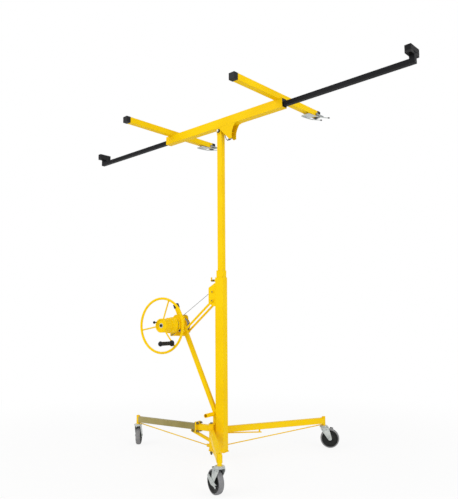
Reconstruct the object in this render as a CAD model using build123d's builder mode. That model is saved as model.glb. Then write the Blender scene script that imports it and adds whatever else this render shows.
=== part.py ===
from build123d import *
import os
from math import asin, atan2, cos, degrees, hypot, pi, radians, sin, sqrt

# A tripod hoist for ceiling boards: a three-stage mast raised by a hand winch, with a tilting cradle.
# Millimetres, Z up, floor at Z 0, mast on the Z axis. The winch stands on the -X side and its
# handwheel faces -Y. The cradle's long beam lies near X, turned a little on the mast.

# Mast tubes, nested with a rope channel on the winch side
mast_wall = 1.8
mast_corner = 3.0
slide_gap = 1.8
rope_channel = 6.5
inner_side = 40.0
outer_bottom = 49.0
outer_top = 1176.0
mid_top = 1223.0
inner_top = 2166.0
rope_end_drop = 144.0
foot_plate = 4.0
foot_margin = 4.0
rest_gap = 0.3
shoe_length = 40.0
shoe_clearance = 0.1
mid_travel = 900.0

# Rope and its sheaves
rope_radius = 2.0
rope_y = 13.0
groove_clearance = 0.3
running_clearance = 0.05
side_clearance = 0.7
mast_sheave_x = -56.0
mast_sheave_z = 1080.0
mast_sheave_flange = 2.0
low_sheave_z = 95.0
loop_up_y = -6.0
top_sheave_z = 1115.0
top_sheave_radius = 10.0
small_flange = 0.5
small_flange_lip = 0.4
small_pin_radius = 2.5

# Winch
winch_x = -354.0
winch_z = 857.0
drum_core_radius = 46.0
drum_flange_radius = 54.0
drum_flange = 3.0
drum_loops = 6
rope_pitch = 4.6
drum_rim_wall = 10.0
drum_web = 8.0
shaft_radius = 10.0
plate_width = 106.0
plate_height = 148.0
plate_corner = 34.0
plate_thickness = 4.0
rear_plate_reach = 32.0
boss_radius = 25.0
boss_length = 40.0
brake_flange_radius = 48.0
brake_flange_length = 10.0
brake_pad_radius = 44.0
brake_pad = 4.0
ratchet_radius = 50.0
ratchet_width = 10.0
ratchet_teeth = 12
tooth_depth = 7.0
cover_radius = 52.0
cover_length = 50.0
hub_radius = 47.0
hub_length = 70.0
hub_recess = 6.0
wheel_radius = 181.0
rim_radius = 8.0
spoke_radius = 5.0
spoke_angle = 70.0
wheel_set_back = 9.0
grip_radius_on_wheel = 150.0
grip_length = 122.0
grip_radius = 13.0
grip_collar_radius = 20.0
grip_end_radius = 17.0
stud_radius = 6.0
nut_radius = 9.0
nut_height = 8.0
knob_radius = 9.0
knob_stem_radius = 3.0

# Winch strut
post_width = 28.0
post_depth = 20.0
post_wall = 2.0
post_top_z = 1002.0
post_foot_z = 281.0
post_foot_x = -45.0
post_slope = -0.478
barrel_x = -56.0
barrel_radius = 13.0
barrel_length = 220.0
barrel_wall = 2.5
cap_length = 26.0
cap_wall = 2.0
brace_width = 15.0
brace_thickness = 3.5
brace_top_x = -56.0
brace_top_z = 1021.0
brace_drop = 42.0
brace_stand_off = 0.3
sleeve_radius = 7.0
cheek_thickness = 3.0
cheek_reach = 90.0
cheek_low_z = 983.0
cheek_high_z = 1140.0
bolt_radius = 5.0
bolt_head_radius = 8.5
bolt_head = 6.0
latch_z = 1158.0
latch_radius = 5.0
latch_boss_radius = 9.0
latch_boss = 11.0
latch_reach = 52.0
latch_handle = 22.0

# Tripod
leg_width = 30.0
leg_height = 38.0
leg_wall = 2.0
leg_bottom = 165.0
leg_rise = 14.0
hub_side = 40.0
hub_depth = 24.0
hub_wall = 3.0
hub_bottom = 50.0
hub_top = 275.0
ear_plate = 6.0
low_ear_z = 52.0
high_ear_z = 217.0
hinge_x = -58.0
hinge_y = 43.0
hinge_pin_radius = 6.0
hinge_barrel_radius = 15.0
ear_radius = 18.0
hinge_gap = 0.3
flange_x = -198.0
flange_thickness = 5.0
flange_height = 68.0
flange_width = 58.0
flange_bolt_radius = 4.0
flange_bolt_spread = 20.0
rear_stem_x = -738.0
side_stem_x = 423.0
side_stem_y = 645.0
pipe_radius = 12.5
pipe_bottom = 152.0
pipe_top = 212.0
tie_radius = 3.5
tie_low_z = 64.0
tie_high_z = 159.0
lug_reach = 124.0
lug_thickness = 6.0
rear_brace_x = -238.0
rear_brace_z = 96.0
rear_brace_depth = 22.0
rear_brace_width = 8.0

# Casters
caster_wheel_radius = 65.0
tyre_width = 32.0
tyre_depth = 17.0
caster_trail = 40.0
caster_hub_width = 28.0
caster_gap = 3.0
fork_thickness = 2.5
race_radius = 24.0
race_height = 12.0
stem_radius = 8.0
stem_length = 52.0
stem_clearance = 0.08
fork_axle_radius = 5.0
axle_boss_radius = 13.0
axle_end_radius = 8.5
axle_end = 5.5
lever_plate = 4.0
lever_lobe = (30.0, 24.0)
lever_toe = (-48.0, -14.0)
lever_clearance = 0.3
front_trail_angle = 156.0
rear_trail_angle = 124.0
right_trail_angle = 25.0

# Head and cradle
cradle_turn = -9.2
spigot_length = 80.0
pivot_height = 26.0
knuckle_radius = 19.0
tilt_bolt_radius = 6.0
cheek_gap = 0.5
horn_thickness = 4.0
horn_depth = 79.0
horn_reach = 122.0
horn_tip = 22.0
horn_eye_radius = 20.0
horn_top_reach = 152.0
saddle_plate = 4.0
saddle_back = 60.0
saddle_front = 166.0
beam_height = 60.0
beam_wall = 2.5
beam_half_length = 553.0
beam_rest_gap = 0.3
side_hinge_radius = 5.0
side_hinge_pin_radius = 2.5
side_hinge_knuckle = 36.0
lock_x = 85.0
lock_y = -8.0
lock_radius = 5.0
lock_shelf_drop = 42.0
lock_tail = 56.0
arm_side = 28.0
arm_wall = 2.0
arm_drop = 8.0
arm_tip = 1416.0
arm_inner_end = 330.0
arm_shoe = 40.0
bush_length = 40.0
bush_clearance = 0.1
pad_side = 30.0
pad_length = 100.0
cross_side = 40.0
cross_wall = 2.0
cross_half_length = 440.0
cross_x = 508.0
cap_skirt = 30.0
cap_skin = 1.5
cap_end = 3.0
hook_set_back = 45.0
hook_drop = 10.0
hook_pin_radius = 4.0
hook_reach = 78.0
hook_plate = 2.5
hook_width = 12.0
hook_boss_radius = 11.0
hook_gap = 5.0


# Derived places
inner_half = inner_side / 2
mid_in_low = -inner_half - rope_channel
mid_in_high = inner_half + slide_gap
mid_in_half = inner_half + slide_gap
mid_low = mid_in_low - mast_wall
mid_high = mid_in_high + mast_wall
mid_half = mid_in_half + mast_wall
outer_in_low = mid_low - rope_channel
outer_in_high = mid_high + slide_gap
outer_in_half = mid_half + slide_gap
outer_low = outer_in_low - mast_wall
outer_high = outer_in_high + mast_wall
outer_half = outer_in_half + mast_wall
mid_bottom = outer_bottom + rest_gap
inner_bottom = top_sheave_z - rope_end_drop
fall_x = (outer_in_low + mid_low) / 2
loop_x = (mid_in_low - inner_half) / 2
mast_sheave_radius = fall_x - mast_sheave_x
small_groove = 2 * (rope_radius + 0.2)
small_sheave_half = small_groove / 2 + small_flange
drum_radius = drum_core_radius + rope_radius
wrap_span = drum_loops * rope_pitch
near_flange_y = rope_y - rope_radius - groove_clearance
far_flange_y = rope_y + wrap_span + rope_radius + groove_clearance
post_y = near_flange_y - drum_flange - 4 - post_depth / 2
front_plate_y = post_y - post_depth / 2
rear_plate_y = far_flange_y + drum_flange + 2.0
brake_flange_y = front_plate_y - plate_thickness - boss_length - 0.5
ratchet_y = brake_flange_y - brake_flange_length - brake_pad
cover_y = ratchet_y - ratchet_width - brake_pad
hub_y = cover_y - cover_length
hub_front_y = hub_y - hub_length
wheel_y = hub_front_y + wheel_set_back
post_top_x = post_foot_x + post_slope * (post_top_z - post_foot_z)
brace_low_z = winch_z - brace_drop
brace_low_x = post_foot_x + post_slope * (brace_low_z - post_foot_z)
leg_z = leg_bottom + leg_height / 2
leg_top = leg_bottom + leg_height
hub_face_x = outer_low - hub_depth
hook_pivot_y = cross_half_length - hook_set_back
spigot_radius = inner_half - mast_wall - running_clearance
beam_width = inner_side + 2 * (cheek_gap + horn_thickness)
beam_half_width = beam_width / 2
block_bottom = inner_top + rest_gap
pivot_z = inner_top + pivot_height
saddle_low = pivot_z + knuckle_radius + 1.0
beam_bottom = saddle_low + saddle_plate + beam_rest_gap
beam_z = beam_bottom + beam_height / 2
arm_z = beam_z - arm_drop
cross_bottom = beam_bottom + beam_height
cross_z = cross_bottom + cross_side / 2
pad_top = cross_bottom + cross_side
side_hinge_y = beam_half_width + side_hinge_radius + 0.5
side_hinge_z = saddle_low + saddle_plate - 2.0

# Frames: the turned cradle's, the strut's, and the front leg's direction
turn = radians(cradle_turn)
cradle_along = Vector(cos(turn), sin(turn), 0)
cradle_across = Vector(-sin(turn), cos(turn), 0)
cradle = Plane(origin=(0, 0, 0), x_dir=cradle_along, z_dir=(0, 0, 1))
cradle_side = Plane(origin=(0, 0, 0), x_dir=cradle_along, z_dir=-cradle_across)
cradle_end = Plane(origin=(0, 0, 0), x_dir=cradle_across, z_dir=cradle_along)
post_along = Vector(post_top_x - post_foot_x, 0, post_top_z - post_foot_z).normalized()
ACROSS_Y = Vector(0, 1, 0)
UP = Vector(0, 0, 1)
os.makedirs("parts", exist_ok=True)


def keep(piece, name):
    piece.label = name
    export_step(piece, "parts/" + name + ".step")


def block(x_span, y_span, z_span, mode=Mode.ADD):
    """A box between two places on each axis."""
    spans = (x_span, y_span, z_span)
    with Locations(tuple((low + high) / 2 for low, high in spans)):
        Box(*(high - low for low, high in spans), mode=mode)


def rod(start, along, radius, length, mode=Mode.ADD):
    """A round bar that starts at a point and runs along a direction."""
    with Locations(Plane(origin=start, z_dir=along)):
        Cylinder(radius, length, align=(Align.CENTER, Align.CENTER, Align.MIN), mode=mode)


def hexagon(start, along, radius, height):
    """A hexagonal bolt head or nut."""
    with BuildSketch(Plane(origin=start, z_dir=along)) as head:
        RegularPolygon(radius, 6)
    extrude(head.sketch, amount=height)


def mast_tube(low, high, half, bottom, top):
    """One square mast tube with rounded corners."""
    with BuildPart() as tube:
        with BuildSketch(Plane.XY.offset(bottom)):
            with Locations(((low + high) / 2, 0)):
                RectangleRounded(high - low, 2 * half, mast_corner)
                bore = (high - low - 2 * mast_wall, 2 * (half - mast_wall))
                RectangleRounded(*bore, mast_corner - mast_wall / 2, mode=Mode.SUBTRACT)
        extrude(amount=top - bottom)
    return tube.part


def grooved_sheave(frame, pitch_radius, half_width, groove, lip, bore):
    """A rope sheave: a core between two thin flanges, on a frame whose Z is the axle."""
    core = pitch_radius - rope_radius
    with BuildPart(frame) as sheave:
        Cylinder(core, 2 * half_width)
        for side in (-1, 1):
            with Locations((0, 0, side * (half_width + groove / 2) / 2)):
                Cylinder(core + rope_radius + lip, half_width - groove / 2)
        Cylinder(bore, 2 * half_width, mode=Mode.SUBTRACT)
    return sheave.part


# Mast
with BuildPart() as outer_mast:
    add(mast_tube(outer_low, outer_high, outer_half, outer_bottom, outer_top))
    block(
        (outer_low - foot_margin, outer_high + foot_margin),
        (-outer_half - foot_margin, outer_half + foot_margin),
        (outer_bottom - foot_plate, outer_bottom),
    )
    rod((outer_low - latch_boss, 0, latch_z), (1, 0, 0), latch_boss_radius, latch_boss)
    rod(
        (outer_low - latch_boss, 0, latch_z),
        (1, 0, 0),
        latch_radius + running_clearance,
        latch_boss + mast_wall,
        mode=Mode.SUBTRACT,
    )
    slot_half = sqrt((mast_sheave_radius + mast_sheave_flange + 3) ** 2 - (outer_low - mast_sheave_x) ** 2)
    sheave_half_width = rope_radius + groove_clearance + mast_sheave_flange
    block(
        (outer_low, outer_in_low),
        (rope_y - sheave_half_width - 1, rope_y + sheave_half_width + 1),
        (mast_sheave_z - slot_half - 2, mast_sheave_z + slot_half + 2),
        mode=Mode.SUBTRACT,
    )

# The low sheave leans between the rope's two channels
fall_point = Vector(fall_x, rope_y, low_sheave_z)
loop_point = Vector(loop_x, loop_up_y, low_sheave_z)
low_center = (fall_point + loop_point) * 0.5
low_across = (loop_point - fall_point).normalized()
low_axle = Vector(-low_across.Y, low_across.X, 0)
low_sheave_radius = (loop_point - fall_point).length / 2
low_frame = Plane(origin=low_center, x_dir=low_across, z_dir=low_axle)
top_center = Vector(loop_x, loop_up_y + top_sheave_radius, top_sheave_z)
top_frame = Plane(origin=top_center, x_dir=(0, 1, 0), z_dir=(1, 0, 0))

with BuildPart() as mid_mast:
    add(mast_tube(mid_low, mid_high, mid_half, mid_bottom, mid_top))
    notch_half = low_sheave_radius + small_flange_lip + 2
    block(
        (mid_low, mid_in_low),
        (low_center.Y - notch_half, low_center.Y + notch_half),
        (mid_bottom, low_sheave_z + notch_half),
        mode=Mode.SUBTRACT,
    )
    with BuildSketch(low_frame.offset(small_sheave_half + side_clearance)):
        Rectangle(4 * mid_half, 16)
    extrude(amount=3)
    rod(low_center - low_axle * small_sheave_half, low_axle, small_pin_radius, 2 * small_sheave_half + 3)
    with BuildSketch(Plane.XY.offset(mid_bottom)):
        with Locations(((mid_low + mid_high) / 2, 0)):
            RectangleRounded(mid_high - mid_low, 2 * mid_half, mast_corner)
    extrude(amount=mid_top - mid_bottom, mode=Mode.INTERSECT)
    rod((mid_low, top_center.Y, top_sheave_z), (1, 0, 0), small_pin_radius, -inner_half - 0.6 - mid_low)
    for hole_z in (latch_z, latch_z - mid_travel):
        rod((mid_low, 0, hole_z), (1, 0, 0), latch_radius + 0.3, mast_wall, mode=Mode.SUBTRACT)

with BuildPart() as inner_mast:
    add(mast_tube(-inner_half, inner_half, inner_half, inner_bottom, inner_top))
    end_y = loop_up_y + 2 * top_sheave_radius
    block(
        (mid_in_low + 0.6, -inner_half),
        (end_y - 5, min(end_y + 5, inner_half - mast_corner + 2)),
        (inner_bottom + 10, inner_bottom + 26),
    )
    rod((loop_x, end_y, inner_bottom + 10), UP, rope_radius + 0.1, 16, mode=Mode.SUBTRACT)


def guide_shoe(low, high, half, gap, bottom):
    """A low-friction shoe round three sides of a tube's foot, open towards the rope."""
    with BuildPart() as shoe:
        with BuildSketch(Plane.XY.offset(bottom)):
            with Locations(((low + high + gap) / 2, 0)):
                RectangleRounded(high + gap - low, 2 * (half + gap), mast_corner)
            with Locations(((low + high) / 2, 0)):
                RectangleRounded(high - low, 2 * half, mast_corner, mode=Mode.SUBTRACT)
            with Locations((low + mast_corner / 2, 0)):
                Rectangle(mast_corner, 4 * half, mode=Mode.SUBTRACT)
        extrude(amount=shoe_length)
    return shoe.part


shoe_gap = slide_gap - shoe_clearance
keep(outer_mast.part, "outer_mast")
keep(mid_mast.part, "mid_mast")
keep(inner_mast.part, "inner_mast")
keep(guide_shoe(mid_low, mid_high, mid_half, shoe_gap, mid_bottom), "mid_guide_shoe")
keep(guide_shoe(-inner_half, inner_half, inner_half, shoe_gap, inner_bottom), "inner_guide_shoe")

small_bore = small_pin_radius + running_clearance
low_sheave = grooved_sheave(
    low_frame, low_sheave_radius, small_sheave_half, small_groove, small_flange_lip, small_bore
)
top_sheave = grooved_sheave(
    top_frame, top_sheave_radius, small_sheave_half, small_groove, small_flange_lip, small_bore
)
mast_sheave_frame = Plane(origin=(mast_sheave_x, rope_y, mast_sheave_z), x_dir=(1, 0, 0), z_dir=(0, 1, 0))
mast_sheave = grooved_sheave(
    mast_sheave_frame,
    mast_sheave_radius,
    sheave_half_width,
    2 * (rope_radius + groove_clearance),
    1.0,
    bolt_radius + running_clearance,
)
keep(low_sheave, "low_sheave")
keep(top_sheave, "top_sheave")
keep(mast_sheave, "mast_sheave")

# Rope: lead from drum to mast, fall inside the outer tube, loop carried by the middle tube, end part
center_angle = atan2(mast_sheave_z - winch_z, mast_sheave_x - winch_x)
center_distance = hypot(mast_sheave_x - winch_x, mast_sheave_z - winch_z)
lead_angle = center_angle - asin((drum_radius - mast_sheave_radius) / center_distance)
lead_along = Vector(cos(lead_angle), 0, sin(lead_angle))
lead_normal = Vector(-sin(lead_angle), 0, cos(lead_angle))
drum_center = Vector(winch_x, rope_y, winch_z)
sheave_center = Vector(mast_sheave_x, rope_y, mast_sheave_z)
lead_start = drum_center + lead_normal * drum_radius + lead_along * (2 * rope_radius)
lead_end = sheave_center + lead_normal * mast_sheave_radius
fall_top = Vector(fall_x, rope_y, mast_sheave_z)

with BuildPart() as cable_lead:
    with BuildLine() as lead_path:
        Line(lead_start, lead_end)
        TangentArc(lead_end, fall_top, tangent=lead_along)
    with BuildSketch(Plane(origin=lead_start, z_dir=lead_along)):
        Circle(rope_radius)
    sweep(path=lead_path.line)

with BuildPart() as cable_fall:
    rod(fall_point, UP, rope_radius, mast_sheave_z - low_sheave_z)

with BuildPart() as cable_loop:
    with BuildLine() as loop_path:
        TangentArc(fall_point, loop_point, tangent=(0, 0, -1))
        Line(loop_point, loop_point + UP * (top_sheave_z - low_sheave_z))
        TangentArc(
            loop_point + UP * (top_sheave_z - low_sheave_z),
            Vector(loop_x, loop_up_y + 2 * top_sheave_radius, top_sheave_z),
            tangent=(0, 0, 1),
        )
    with BuildSketch(Plane(origin=fall_point, z_dir=(0, 0, -1))):
        Circle(rope_radius)
    sweep(path=loop_path.line)

ferrule_length = 8.0
with BuildPart() as cable_end:
    rod((loop_x, end_y, inner_bottom + 1), UP, rope_radius, top_sheave_z - inner_bottom - 1)
    rod((loop_x, end_y, inner_bottom + 1.7), UP, rope_radius + 0.8, ferrule_length)

keep(cable_lead.part, "cable_lead")
keep(cable_fall.part, "cable_fall")
keep(cable_loop.part, "cable_loop")
keep(cable_end.part, "cable_end")


def biarc(start, start_along, end, end_along):
    """Two tangent arcs from one point and direction to another."""
    gap = end - start
    both = start_along + end_along
    a = 2 * (start_along.dot(end_along) - 1)
    b = -2 * gap.dot(both)
    reach = (-b - sqrt(b * b - 4 * a * gap.dot(gap))) / (2 * a)
    first = start + start_along * reach
    last = end - end_along * reach
    middle = (first + last) * 0.5
    TangentArc(start, middle, tangent=start_along)
    TangentArc(middle, end, tangent=(last - first).normalized())


def wrap_place(turns):
    """Point and direction on the drum's winding, going back from where the rope leaves it."""
    angle = lead_angle + pi / 2 + 2 * pi * turns
    radial = Vector(cos(angle), 0, sin(angle))
    forward = Vector(sin(angle), 0, -cos(angle)) * (2 * pi * drum_radius) - Vector(0, rope_pitch, 0)
    return drum_center + radial * drum_radius + Vector(0, rope_pitch * turns, 0), forward.normalized()


quarters = 4 * drum_loops
places = [wrap_place(step / 4) for step in range(quarters, 0, -1)]
places.append((drum_center + lead_normal * drum_radius, lead_along))
tail = 2 * rope_radius
with BuildPart() as drum_wraps:
    with BuildLine() as wrap_path:
        first_point, first_along = places[0]
        Line(first_point - first_along * tail, first_point)
        for (point, along), (next_point, next_along) in zip(places, places[1:]):
            biarc(point, along, next_point, next_along)
        last_point, last_along = places[-1]
        Line(last_point, last_point + last_along * tail)
    with BuildSketch(Plane(origin=first_point - first_along * tail, z_dir=first_along)):
        Circle(rope_radius)
    sweep(path=wrap_path.line)
keep(drum_wraps.part, "drum_wraps")
wrap_count = 96 * drum_loops
wrap_wire = wrap_path.wires()[0]
wrap_points = [wrap_wire @ (step / wrap_count) for step in range(wrap_count + 1)]
turn_gap = min(
    (wrap_points[i] - wrap_points[j]).length
    for i in range(wrap_count + 1)
    for j in range(i + 48, wrap_count + 1)
)
print("least gap between rope turns", round(turn_gap - 2 * rope_radius, 2))

# Winch, from the rope drum forward to the handwheel
winch_frame_plane = Plane(origin=(winch_x, 0, winch_z), x_dir=(1, 0, 0), z_dir=(0, -1, 0))


def on_axle(y):
    """The plane across the winch axle at a place along Y, looking from the handwheel side."""
    return winch_frame_plane.offset(-y)


with BuildPart() as rope_drum:
    with BuildSketch(on_axle(far_flange_y + drum_flange)):
        Circle(drum_flange_radius)
    extrude(amount=drum_flange)
    with BuildSketch(on_axle(far_flange_y)):
        Circle(drum_core_radius)
    extrude(amount=far_flange_y - near_flange_y)
    with BuildSketch(on_axle(near_flange_y)):
        Circle(drum_flange_radius)
    extrude(amount=drum_flange)
    with BuildSketch(on_axle(far_flange_y + drum_flange)):
        Circle(drum_core_radius - drum_rim_wall)
        Circle(shaft_radius + drum_web, mode=Mode.SUBTRACT)
    extrude(amount=far_flange_y - near_flange_y - drum_web + drum_flange, mode=Mode.SUBTRACT)
    with BuildSketch(on_axle(far_flange_y + drum_flange)):
        Circle(shaft_radius)
    extrude(amount=far_flange_y - near_flange_y + 2 * drum_flange, mode=Mode.SUBTRACT)
keep(rope_drum.part, "rope_drum")

with BuildPart() as winch_shaft:
    with BuildSketch(on_axle(rear_plate_y + plate_thickness + 2)):
        Circle(shaft_radius)
    extrude(amount=rear_plate_y + plate_thickness + 2 - hub_front_y - hub_recess)
    hexagon((winch_x, hub_front_y + hub_recess, winch_z), (0, -1, 0), nut_radius, nut_height)
    with BuildSketch(on_axle(brake_flange_y)):
        Circle(brake_flange_radius)
    extrude(amount=brake_flange_length)
keep(winch_shaft.part, "winch_shaft")

tooth_step = 360 / ratchet_teeth
tooth_root = ratchet_radius - tooth_depth
tooth_reach = ratchet_radius + 3
tooth_angle = radians(tooth_step * 0.8)
tooth_back = (tooth_reach * cos(tooth_angle), tooth_reach * sin(tooth_angle))
with BuildPart() as ratchet_wheel:
    with BuildSketch(on_axle(ratchet_y)):
        Circle(ratchet_radius)
        with BuildSketch(mode=Mode.PRIVATE) as tooth_gap:
            with BuildLine():
                Polyline((tooth_root, 0), (tooth_reach, 0), tooth_back, close=True)
            make_face()
        with PolarLocations(0, ratchet_teeth):
            add(tooth_gap.sketch, mode=Mode.SUBTRACT)
        Circle(shaft_radius, mode=Mode.SUBTRACT)
    extrude(amount=ratchet_width)
    for lining_y in (ratchet_y + brake_pad, ratchet_y - ratchet_width):
        with BuildSketch(on_axle(lining_y)):
            Circle(brake_pad_radius)
            Circle(shaft_radius, mode=Mode.SUBTRACT)
        extrude(amount=brake_pad)
keep(ratchet_wheel.part, "ratchet_wheel")

pawl_pivot = (-12.0, -ratchet_radius - 14)
pawl_eye_radius = 9.0
pawl_pin_radius = 5.0
with BuildPart() as brake_pawl:
    with BuildSketch(on_axle(ratchet_y - 1)):
        with Locations(pawl_pivot):
            Circle(pawl_eye_radius)
        with BuildLine():
            Polyline(
                (pawl_pivot[0], pawl_pivot[1] + 8),
                (pawl_pivot[0], pawl_pivot[1] - 8),
                (pawl_pivot[0] + 34, -ratchet_radius - 3),
                (pawl_pivot[0] + 34, 2.5 - ratchet_radius),
                close=True,
            )
        make_face()
        with Locations(pawl_pivot):
            Circle(pawl_pin_radius + running_clearance, mode=Mode.SUBTRACT)
    extrude(amount=ratchet_width - 2)
keep(brake_pawl.part, "brake_pawl")

with BuildPart() as brake_cover:
    with BuildSketch(on_axle(cover_y)):
        Circle(cover_radius)
        Circle(shaft_radius, mode=Mode.SUBTRACT)
    extrude(amount=cover_length)
    fillet(brake_cover.edges().filter_by(GeomType.CIRCLE).group_by(SortBy.RADIUS)[-1], 4)
keep(brake_cover.part, "brake_cover")

knob_angle = radians(150)
knob_out = Vector(cos(knob_angle), 0, sin(knob_angle)) * (hub_radius - 4.5)
knob_base = Vector(winch_x, hub_front_y, winch_z) + knob_out
with BuildPart() as wheel_hub:
    with BuildSketch(on_axle(hub_y)):
        Circle(hub_radius)
        Circle(shaft_radius, mode=Mode.SUBTRACT)
    extrude(amount=hub_length)
    with BuildSketch(on_axle(hub_front_y)):
        Circle(hub_radius - 9)
    extrude(amount=-hub_recess, mode=Mode.SUBTRACT)
    rim_edges = wheel_hub.edges().filter_by(GeomType.CIRCLE).group_by(SortBy.RADIUS)[-1]
    fillet(rim_edges.sort_by(Axis.Y)[0], 1.2)
    rod(knob_base + Vector(0, 10, 0), (0, -1, 0), knob_stem_radius, 12, mode=Mode.SUBTRACT)
keep(wheel_hub.part, "wheel_hub")

with BuildPart() as handwheel:
    with BuildSketch(Plane(origin=(winch_x, wheel_y, winch_z), x_dir=(1, 0, 0), z_dir=(0, 0, 1))):
        with Locations((wheel_radius, 0)):
            RectangleRounded(2 * rim_radius, 2 * rim_radius, rim_radius - 0.4)
    revolve(axis=Axis((winch_x, 0, winch_z), (0, 1, 0)))
    for spoke in range(3):
        angle = radians(spoke_angle + 120 * spoke)
        outward = Vector(cos(angle), 0, sin(angle))
        hub_center = Vector(winch_x, wheel_y, winch_z)
        rod(hub_center + outward * (hub_radius - 2), outward, spoke_radius, wheel_radius - hub_radius + 2)
    with BuildSketch(on_axle(hub_y)):
        Circle(hub_radius)
    extrude(amount=hub_length, mode=Mode.SUBTRACT)
    grip_angle = radians(spoke_angle + 240)
    grip_center = hub_center + Vector(cos(grip_angle), 0, sin(grip_angle)) * grip_radius_on_wheel
    rod(grip_center, (0, -1, 0), stud_radius, grip_length + spoke_radius + 8)
    rod(grip_center + Vector(0, spoke_radius, 0), (0, -1, 0), stud_radius + 4, 2 * spoke_radius)
keep(handwheel.part, "handwheel")

grip_start = grip_center - Vector(0, spoke_radius + 0.5, 0)
with BuildPart() as crank_grip:
    with BuildSketch(Plane(origin=grip_start, x_dir=(1, 0, 0), z_dir=(0, 0, 1))):
        bore = stud_radius + running_clearance
        with BuildLine():
            Polyline(
                (bore, 0),
                (grip_collar_radius, 0),
                (grip_collar_radius, -6),
                (grip_radius, -12),
                (grip_radius, -grip_length + 12),
                (grip_end_radius, -grip_length + 6),
                (grip_end_radius, -grip_length),
                (bore, -grip_length),
                close=True,
            )
        make_face()
    revolve(axis=Axis(grip_start, (0, 1, 0)))
    grip_rims = crank_grip.edges().filter_by(GeomType.CIRCLE).group_by(SortBy.RADIUS)
    fillet(grip_rims[-1], 2)
keep(crank_grip.part, "crank_grip")

with BuildPart() as brake_knob:
    rod(knob_base + Vector(0, 10, 0), (0, -1, 0), knob_stem_radius, 26)
    with Locations(knob_base - Vector(0, 14 + knob_radius, 0)):
        Sphere(knob_radius)
keep(brake_knob.part, "brake_knob")

# Winch strut and frame
post_frame = Plane(origin=(post_foot_x, post_y, post_foot_z), x_dir=(0, 1, 0), z_dir=post_along)
post_length = hypot(post_top_x - post_foot_x, post_top_z - post_foot_z)
barrel_center = Vector(barrel_x, -barrel_length / 2, post_foot_z)

with BuildPart() as winch_post:
    with BuildSketch(post_frame):
        Rectangle(post_depth, post_width)
        Rectangle(post_depth - 2 * post_wall, post_width - 2 * post_wall, mode=Mode.SUBTRACT)
    extrude(amount=post_length)
    rod(barrel_center, ACROSS_Y, barrel_radius, barrel_length, mode=Mode.SUBTRACT)
    block(
        (outer_low, outer_high),
        (-outer_half, outer_half),
        (outer_bottom, post_foot_z + 4 * post_width),
        mode=Mode.SUBTRACT,
    )
    brace_hole = (brace_low_x, post_y - post_depth, brace_low_z)
    rod(brace_hole, ACROSS_Y, bolt_radius, 2 * post_depth, mode=Mode.SUBTRACT)
keep(winch_post.part, "winch_post")

with BuildPart() as post_cap:
    with BuildSketch(post_frame.offset(post_length - cap_length)):
        Rectangle(post_depth + 2 * cap_wall, post_width + 2 * cap_wall)
    extrude(amount=cap_length + 4)
    fillet(post_cap.faces().sort_by(Axis.Z)[-1].edges(), 2.5)
    with BuildSketch(post_frame.offset(post_length - cap_length)):
        Rectangle(post_depth, post_width)
    extrude(amount=cap_length, mode=Mode.SUBTRACT)
keep(post_cap.part, "post_cap")

brace_angle = degrees(atan2(brace_top_z - brace_low_z, brace_top_x - brace_low_x))
brace_length = hypot(brace_top_x - brace_low_x, brace_top_z - brace_low_z)
brace_middle = ((brace_top_x + brace_low_x) / 2, (brace_top_z + brace_low_z) / 2)
near_brace_y = -outer_half - brace_stand_off - brace_thickness
far_brace_y = outer_half + brace_stand_off
with BuildPart() as brace_bars:
    for bar_y in (near_brace_y, far_brace_y):
        with BuildSketch(Plane.XZ.offset(-bar_y - brace_thickness)):
            with Locations(Location(brace_middle, brace_angle)):
                SlotCenterToCenter(brace_length, brace_width)
            with Locations((brace_top_x, brace_top_z), (brace_low_x, brace_low_z)):
                Circle(bolt_radius, mode=Mode.SUBTRACT)
        extrude(amount=brace_thickness)
keep(brace_bars.part, "brace_bars")

near_cheek_y = -outer_half
far_cheek_y = outer_half - cheek_thickness
with BuildPart() as mast_bracket:
    for cheek_y in (near_cheek_y, far_cheek_y):
        with BuildSketch(Plane.XZ.offset(-cheek_y - cheek_thickness)):
            with BuildLine():
                Polyline(
                    (outer_low, cheek_low_z),
                    (outer_low, cheek_high_z),
                    (-cheek_reach, mast_sheave_z + 28),
                    (-cheek_reach, brace_top_z - 14),
                    (brace_top_x, cheek_low_z),
                    close=True,
                )
            face = make_face()
            fillet(face.vertices().group_by(Axis.X)[0], 10)
            with Locations((mast_sheave_x, mast_sheave_z), (brace_top_x, brace_top_z)):
                Circle(bolt_radius, mode=Mode.SUBTRACT)
        extrude(amount=cheek_thickness)
keep(mast_bracket.part, "mast_bracket")

with BuildPart() as frame_bolts:
    bar_ends = (near_brace_y, far_brace_y + brace_thickness)
    bolt_ends = (
        (mast_sheave_x, mast_sheave_z, near_cheek_y, far_cheek_y + cheek_thickness),
        (brace_top_x, brace_top_z) + bar_ends,
        (brace_low_x, brace_low_z) + bar_ends,
    )
    for x, z, near, far in bolt_ends:
        rod((x, near, z), ACROSS_Y, bolt_radius, far - near)
        hexagon((x, near, z), (0, -1, 0), bolt_head_radius, bolt_head)
        hexagon((x, far, z), ACROSS_Y, bolt_head_radius, bolt_head)
    inner_near = near_cheek_y + cheek_thickness
    sheave_near = rope_y - sheave_half_width - side_clearance
    sheave_far = rope_y + sheave_half_width + side_clearance
    sleeves = (
        (mast_sheave_x, mast_sheave_z, inner_near, sheave_near),
        (mast_sheave_x, mast_sheave_z, sheave_far, far_cheek_y),
        (brace_top_x, brace_top_z, inner_near, far_cheek_y),
        (brace_low_x, brace_low_z, near_brace_y + brace_thickness, post_y - post_depth / 2),
        (brace_low_x, brace_low_z, post_y + post_depth / 2, far_brace_y),
    )
    for x, z, near, far in sleeves:
        rod((x, near, z), ACROSS_Y, sleeve_radius, far - near)
keep(frame_bolts.part, "frame_bolts")

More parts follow.
